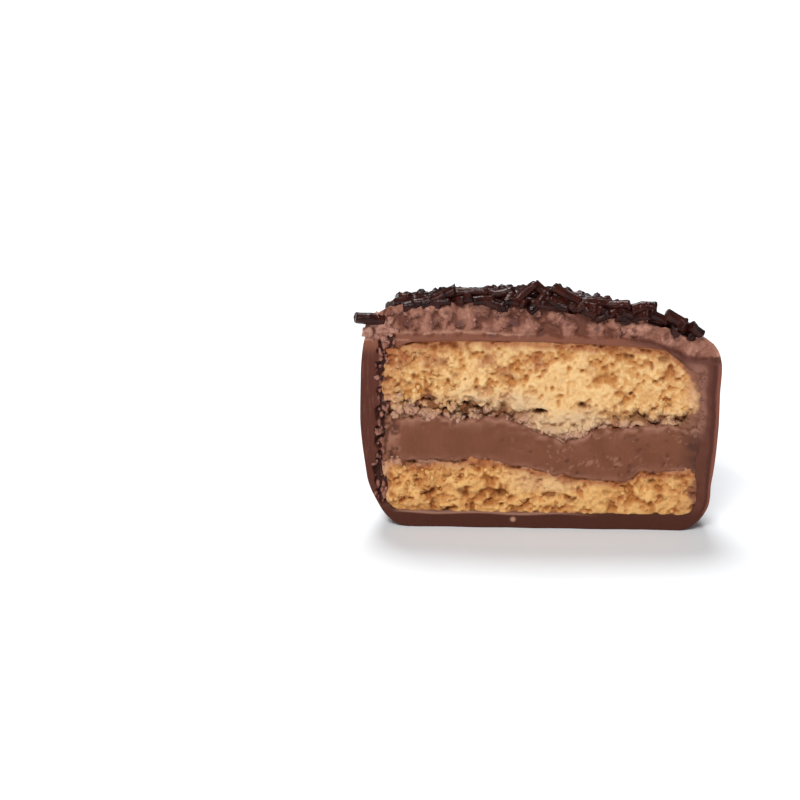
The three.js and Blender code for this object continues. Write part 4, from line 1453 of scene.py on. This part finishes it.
# the cut through the coat: darker at the left and below, paler at the right and through the top
def cutChocolateFinish():
    paint = Paint("cutChocolate", {**softInside, "Subsurface Weight": 0.05, "Specular IOR Level": 0.2})
    across, up = paint.along(0), paint.along(2)
    grain, patch = paint.noise(0.28, 4.0), paint.noise(1.5, 3.0)
    streak = paint.noise(1.0, 3.0, 0.6, (3.0, 1.0, 0.45))
    # painted highlights on the knife's vertical streaks down the left
    left = paint.mix(streak.between(0.5, 0.8) * 0.7, cutColours["wall"], cutColours["wallStreakSheen"])
    inward = paint.attribute("inward")
    right = paint.mix(patch.between(0.4, 0.7) * 0.6, cutColours["right"], cutColours["wall"])
    near = inward.between(0.5, 0.85) * (patch + (grain - 0.5) * 0.5).between(0.3, 0.55)
    high = up.between(*cutZones["smearFrom"]) * (1.0 - up.between(*cutZones["smearTo"]))
    right = paint.mix(near * high * 0.85, right, cutColours["smear"])
    line = inward.between(0.14, 0.26) * (1.0 - inward.between(0.34, 0.5))
    right = paint.mix(line * 0.8, right, cutColours["line"])
    # a painted highlight along the rounded outer edge
    right = paint.mix((1.0 - inward.between(0.1, 0.24)) * 0.85, right, cutColours["rightRimHighlight"])
    colour = paint.mix(across.between(*cutZones["right"]), cutColours["floor"], right)
    colour = paint.mix(1.0 - across.between(*cutZones["left"]), colour, left)
    smooth = paint.mix(patch.between(0.42, 0.68) * 0.45, cutColours["smooth"], cutColours["hollow"])
    colour = paint.mix(up.between(*cutZones["underTop"]), colour, smooth)
    overFloor = (up + (patch - 0.5) * 1.5).between(*cutZones["floor"])
    colour = paint.mix(1.0 - overFloor, colour, cutColours["floor"])
    # painted shade: the crumbly top lighter on its crests and darker in its hollows
    sunk = (paint.attribute("hollow") + (grain - 0.5) * 0.7).clamped()
    crumbly = paint.mix(sunk.between(0.05, 0.4), cutColours["crest"], cutColours["base"])
    crumbly = paint.mix(sunk.between(0.42, 0.85), crumbly, cutColours["hollow"])
    colour = paint.mix(paint.attribute("rough"), colour, crumbly)
    # painted shade in the gaps of the broken stretch down the left wall, with lit specks
    shadowed = paint.mix((sunk + patch * 0.3).between(0.5, 0.95), cutColours["speck"], cutColours["dark"])
    colour = paint.mix(paint.attribute("dark"), colour, shadowed)
    # painted shade in the crease under the seam
    colour = paint.mix(paint.attribute("crease") * 0.85, colour, cutColours["crease"])
    colour = paint.mix(paint.attribute("cutEnd") * 0.8, colour, cutColours["cutEnd"])
    colour = paint.mix(paint.attribute("light") * 0.75, colour, cutColours["light"])
    paint.bump(grain + 0.5 * paint.noise(0.1, 2.0), 0.07)
    return paint.put({"Base Color": colour, "Roughness": 0.5 + paint.attribute("rough") * 0.25})


coatColours = {"dark": tint(96, 53, 37), "light": tint(105, 60, 41)}
strandColours = {"dark": tint(32, 11, 9), "light": tint(64, 27, 20)}
fillingColours = {
    "dark": tint(112, 62, 39),
    "light": tint(122, 71, 47),
    "scratch": tint(146, 98, 78),
    "far": tint(60, 27, 18),
    "pale": tint(172, 122, 100),
    "spot": tint(66, 32, 22),
}


def coatFinish():
    paint = Paint("milkChocolate", {"Coat Roughness": 0.25, "Specular IOR Level": 0.35})
    broad, grain = paint.noise(7.0, 3.0), paint.noise(0.25, 3.0)
    colour = paint.mix(broad.between(0.3, 0.75), coatColours["dark"], coatColours["light"])
    paint.bump(paint.noise(1.8, 3.0) + grain * 0.15, 0.1)
    return paint.put({"Base Color": colour, "Roughness": 0.34 + broad * 0.12, "Coat Weight": 0.08})


def fillingFinish():
    paint = Paint("chocolateFilling", {**softInside, "Subsurface Weight": 0.05})
    broad, grain = paint.noise(3.0, 3.0), paint.noise(0.2, 3.0)
    scratch = paint.noise(0.9, 3.0, 0.6, (3.2, 1.0, 0.55))
    colour = paint.mix(broad.between(0.3, 0.7), fillingColours["dark"], fillingColours["light"])
    colour = paint.mix(scratch.between(0.55, 0.85) * 0.3, colour, fillingColours["scratch"])
    # painted shade at the right end
    colour = paint.mix(paint.attribute("far") * 0.75, colour, fillingColours["far"])
    colour = paint.mix(paint.attribute("pale") * (0.5 + grain * 0.6), colour, fillingColours["pale"])
    # dark spots, and painted shade between the fibres
    colour = paint.mix(paint.attribute("spot") * 0.8, colour, fillingColours["spot"])
    paint.bump(grain * 0.5 + scratch, 0.05)
    return paint.put({"Base Color": colour, "Roughness": 0.6 + grain * 0.1})


def strandFinish():
    paint = Paint("darkChocolate", {"Specular IOR Level": 0.17})
    broad, grain = paint.noise(2.0, 2.0), paint.noise(0.6, 3.0)
    colour = paint.mix(broad.between(0.3, 0.7), strandColours["dark"], strandColours["light"])
    paint.bump(grain, 0.16)
    return paint.put({"Base Color": colour, "Roughness": 0.06 + grain * 0.2})


def triangles(piece):
    return sum(len(face.vertices) - 2 for face in piece.data.polygons)


# gives a piece its materials and body, and hides the CAD solid that it stands for
def placed(piece, node, slot, *materials):
    for material in materials:
        piece.data.materials.append(material)
    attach(piece, "root")
    if node:
        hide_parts(node)
    print(piece.name, triangles(piece), "triangles")


faceStep = 0.105


def floorAt(x):
    return core["bottom"] + 0 * x


upper, upperCut = layerPiece("upperBiscuit", upperEdge, crustEdge, upperFace, faceStep)
lower, lowerCut = layerPiece("lowerBiscuit", floorAt, lowerEdge, lowerFace, faceStep)
filling, fillingCut = layerPiece("chocolateCream", lowerEdge, upperEdge, fillingFace, 2 * faceStep)
shell, shellCut = coatPiece()
print("faces made")


# Where loose crumb gathers, as a share of full density: on the biscuits' grain, along the layers'
# edges, down the left side and over the coat's crumbly top.
crumbZones = {
    "upperGrain": (8, 14),  # more to the left
    "lowerGrain": (2, 15),
    "overFilling": (1.5, 4),
    "loose": (5, 9),
    "leftPile": (14, 18),
    "leftPileHeights": (12.5, 13.5, 17.5, 19),
    "specks": (3, 9),
    "speckEnds": (-19.5, -18.5, 19, 20),
    "corner": (19.4, 20.2, 23.0, 23.6),
    "cornerHeights": (25.6, 26.2, 28.6, 29.4),
    "wall": (-22.2, -21.8, -20.2, -19.6),
    "wallHeights": (3, 4.5),
    "topEnd": 17,
}


# how far inside the side of the layers a point of the cut is
def inFromSide(x, z):
    return coreHalf(z) - np.abs(x - core["offset"])


def patchy(x, z, width, seed, low, high):
    return smoothstep(noise(x / width, z / width, seed), low, high)


def grainShare(x, z):
    fromLow = z - upperEdge(x)
    inside = smoothstep(upperTopAt(x) - z, 0.6, 1.1) * smoothstep(fromLow, 0.0, 0.2)
    inside = inside * smoothstep(inFromSide(x, z), 0.6, 1.2)
    share = 0.03 + 0.65 * smoothstep(-x, *crumbZones["upperGrain"])
    share = share + 0.5 * fading(fromLow, *crumbZones["overFilling"])
    return inside * share * patchy(x, z, 1.1, 95, 0.3, 0.6)


def lowerShare(x, z):
    inside = smoothstep(lowerTopAt(x) - z, 0.6, 1.1) * smoothstep(z, 3.0, 3.5)
    inside = inside * smoothstep(inFromSide(x, z), 0.7, 1.3)
    share = 0.12 + 0.7 * smoothstep(-x, *crumbZones["lowerGrain"])
    return inside * share * patchy(x, z, 1.1, 96, 0.3, 0.6)


def looseShare(x, z):
    fromLow = z - upperEdge(x)
    share = 1.3 * np.exp(-(((fromLow - 0.5) / 0.6) ** 2)) * (0.4 + smoothstep(-x, *crumbZones["loose"]))
    leftPile = 0.9 * smoothstep(-x, *crumbZones["leftPile"]) * zone(z, *crumbZones["leftPileHeights"])
    share = (share + leftPile) * smoothstep(inFromSide(x, z), 0.6, 1.2)
    return share * patchy(x, z, 0.9, 97, 0.35, 0.6)


def speckShare(x, z):
    low, high = z - lowerEdge(x), upperEdge(x) - z
    share = 0.05 + 0.9 * np.exp(-np.abs(low) / 0.35) + 0.9 * np.exp(-np.abs(high) / 0.5)
    share = (share + 0.25 * smoothstep(x, *crumbZones["specks"])) * zone(x, *crumbZones["speckEnds"])
    return share * patchy(x, z, 0.9, 99, 0.3, 0.6)


def cornerShare(x, z):
    return zone(-x, *crumbZones["corner"]) * zone(z, *crumbZones["cornerHeights"])


def rubbleShare(x, z):
    wall = zone(x, *crumbZones["wall"]) * smoothstep(z, *crumbZones["wallHeights"])
    top = smoothstep(z - seamAt(x), 0.3, 1.2) * (x < crumbZones["topEnd"])
    return (0.3 * wall + 0.6 * top) * patchy(x, z, 0.7, 98, 0.25, 0.5)


crumbColours = {
    "chocolateCrumb": (tint(172, 122, 106), tint(112, 68, 56)),
    "smearedCrumb": (tint(204, 162, 138), tint(142, 96, 78)),
    "fillingSpeck": (tint(168, 116, 92), tint(128, 78, 58)),
    "pileCrumb": (tint(190, 142, 124), tint(132, 84, 70)),
}
crumbSizes = {
    "tiny": {"Smallest": 0.14 * mm, "Largest": 0.5 * mm, "Few large": 3.0, "Detail": 1},
    "small": {"Smallest": 0.35 * mm, "Largest": 0.95 * mm, "Few large": 1.8, "Detail": 2},
    "mixed": {"Smallest": 0.2 * mm, "Largest": 0.95 * mm, "Few large": 2.6, "Detail": 2},
    "large": {"Smallest": 0.35 * mm, "Largest": 1.5 * mm, "Few large": 2.2, "Detail": 2},
}
crumbSizes["large"].update({"Shake": 0.8 * mm, "Shake scale": 1.2 / mm})
finishes = {name: crumbFinish(name, *colours) for name, colours in crumbColours.items()}
finishes["upperCrumb"] = biscuitFinish("upperCrumb", biscuitColours["upper"])
finishes["lowerCrumb"] = biscuitFinish("lowerCrumb", biscuitColours["lower"])

# name, cut face, share, sizes, crumbs to a square metre, seed, finish, slot
crumbs = [
    ("biscuitGrains", upperCut, grainShare, "small", 3.2e6, 3, "upperCrumb", "biscuit"),
    ("lowerGrains", lowerCut, lowerShare, "small", 3.2e6, 4, "lowerCrumb", "biscuit"),
    ("looseCrumbs", upperCut, looseShare, "mixed", 3e6, 5, "smearedCrumb", "biscuit"),
    ("fillingSpecks", fillingCut, speckShare, "tiny", 2.5e6, 6, "fillingSpeck", "chocolate_filling"),
    ("cornerPile", shellCut, cornerShare, "large", 5e6, 7, "pileCrumb", "chocolate_coat"),
    ("chocolateCrumbs", shellCut, rubbleShare, "mixed", 3e6, 8, "chocolateCrumb", "chocolate_coat"),
]

placed(upper, "upper_biscuit", "biscuit", finishes["upperCrumb"])
placed(lower, "lower_biscuit", "biscuit", finishes["lowerCrumb"])
placed(filling, "chocolate_filling", "chocolate_filling", fillingFinish())
placed(shell, "chocolate_coat", "chocolate_coat", coatFinish(), cutChocolateFinish())
placed(strandPiece(strandFinish()), None, "chocolate_coat")
for name, cut, shareAt, sizes, density, seed, finish, slot in crumbs:
    settings = {**crumbSizes[sizes], "Density": density, "Seed": seed, "Finish": finishes[finish]}
    placed(crumbPiece(name, cut, shareAt, settings), None, slot)

studio = {
    "floorSize": 40.0,  # metres, so that its end is out of sight
    "floorColour": tint(244, 247, 250),
    "sky": 0.18,
    "suns": {
        "backSun": {"strength": 2.3, "angle": 26.0, "from": (-0.1, 0.47, 0.86)},
        "frontSun": {"strength": 1.9, "angle": 22.0, "from": (-0.16, -0.73, 0.66)},
        "sparkSun": {"strength": 0.25, "angle": 2.5, "from": (-0.3, -0.5, 0.8)},
    },
}


def floorPiece():
    size = studio["floorSize"] / 2
    mesh = bpy.data.meshes.new("floor")
    corners = [(-size, -size, 0), (size, -size, 0), (size, size, 0), (-size, size, 0)]
    mesh.from_pydata(corners, [], [(0, 1, 2, 3)])
    floor = bpy.data.objects.new("floor", mesh)
    bpy.context.scene.collection.objects.link(floor)
    fixed = {"Base Color": studio["floorColour"], "Roughness": 0.8, "Specular IOR Level": 0.1}
    floor.data.materials.append(Paint("paleFloor", fixed).material)


def softSun(name, values):
    lamp = bpy.data.lights.new(name, "SUN")
    lamp.energy, lamp.angle = values["strength"], math.radians(values["angle"])
    light = bpy.data.objects.new(name, lamp)
    light.rotation_mode = "QUATERNION"
    light.rotation_quaternion = Vector(values["from"]).to_track_quat("Z", "Y")
    bpy.context.scene.collection.objects.link(light)


# white where it is seen past the floor's end, and dimmer as a light
def whiteWorld():
    world = bpy.data.worlds.new("white")
    world.use_nodes = True
    nodes, links = world.node_tree.nodes, world.node_tree.links
    seen, strength = nodes.new("ShaderNodeLightPath"), nodes.new("ShaderNodeMapRange")
    strength.inputs["To Min"].default_value = studio["sky"]
    links.new(seen.outputs["Is Camera Ray"], strength.inputs["Value"])
    links.new(strength.outputs[0], nodes["Background"].inputs["Strength"])
    nodes["Background"].inputs["Color"].default_value = (1, 1, 1, 1)
    bpy.context.scene.world = world


photoView = {
    "azimuth": 3.0,  # degrees, right end of the face nearer
    "elevation": 15.5,
    "distance": 300.0,  # to the foot of the face
    "focus": 2222.0,  # focal length in pixels of the 800 pixel frame
    "frame": 800.0,
    "sensor": 36.0,
    "clip": (0.01, 100.0),  # metres
    "foot": (540.0, 528.5),  # pixel of the face's foot, 0.375 mm right of the axis
    "footAt": 0.375,
}


def photoCamera():
    a, e = math.radians(photoView["azimuth"]), math.radians(photoView["elevation"])
    back = Vector((math.sin(a) * math.cos(e), -math.cos(a) * math.cos(e), math.sin(e)))
    right = Vector((math.cos(a), math.sin(a), 0))
    up = back.cross(right)
    data = bpy.data.cameras.new("camera")
    data.sensor_width = photoView["sensor"]
    data.lens = photoView["focus"] / photoView["frame"] * data.sensor_width
    data.clip_start, data.clip_end = photoView["clip"]
    camera = bpy.data.objects.new("camera", data)
    perPixel = photoView["distance"] / photoView["focus"]
    middle = photoView["frame"] / 2
    aside = right * (photoView["foot"][0] - middle) * perPixel
    above = up * (middle - photoView["foot"][1]) * perPixel
    foot = Vector((photoView["footAt"], -coat["radius"] / 2, 0))
    spot = (foot - aside - above + back * photoView["distance"]) * mm
    camera.matrix_world = Matrix.Translation(spot) @ Matrix((right, up, back)).transposed().to_4x4()
    bpy.context.scene.collection.objects.link(camera)
    bpy.context.scene.camera = camera


floorPiece()
whiteWorld()
for name, values in studio["suns"].items():
    softSun(name, values)
photoCamera()
bpy.context.scene.view_settings.view_transform = "Standard"
bpy.context.scene.view_settings.look = "None"
print("studio ready")
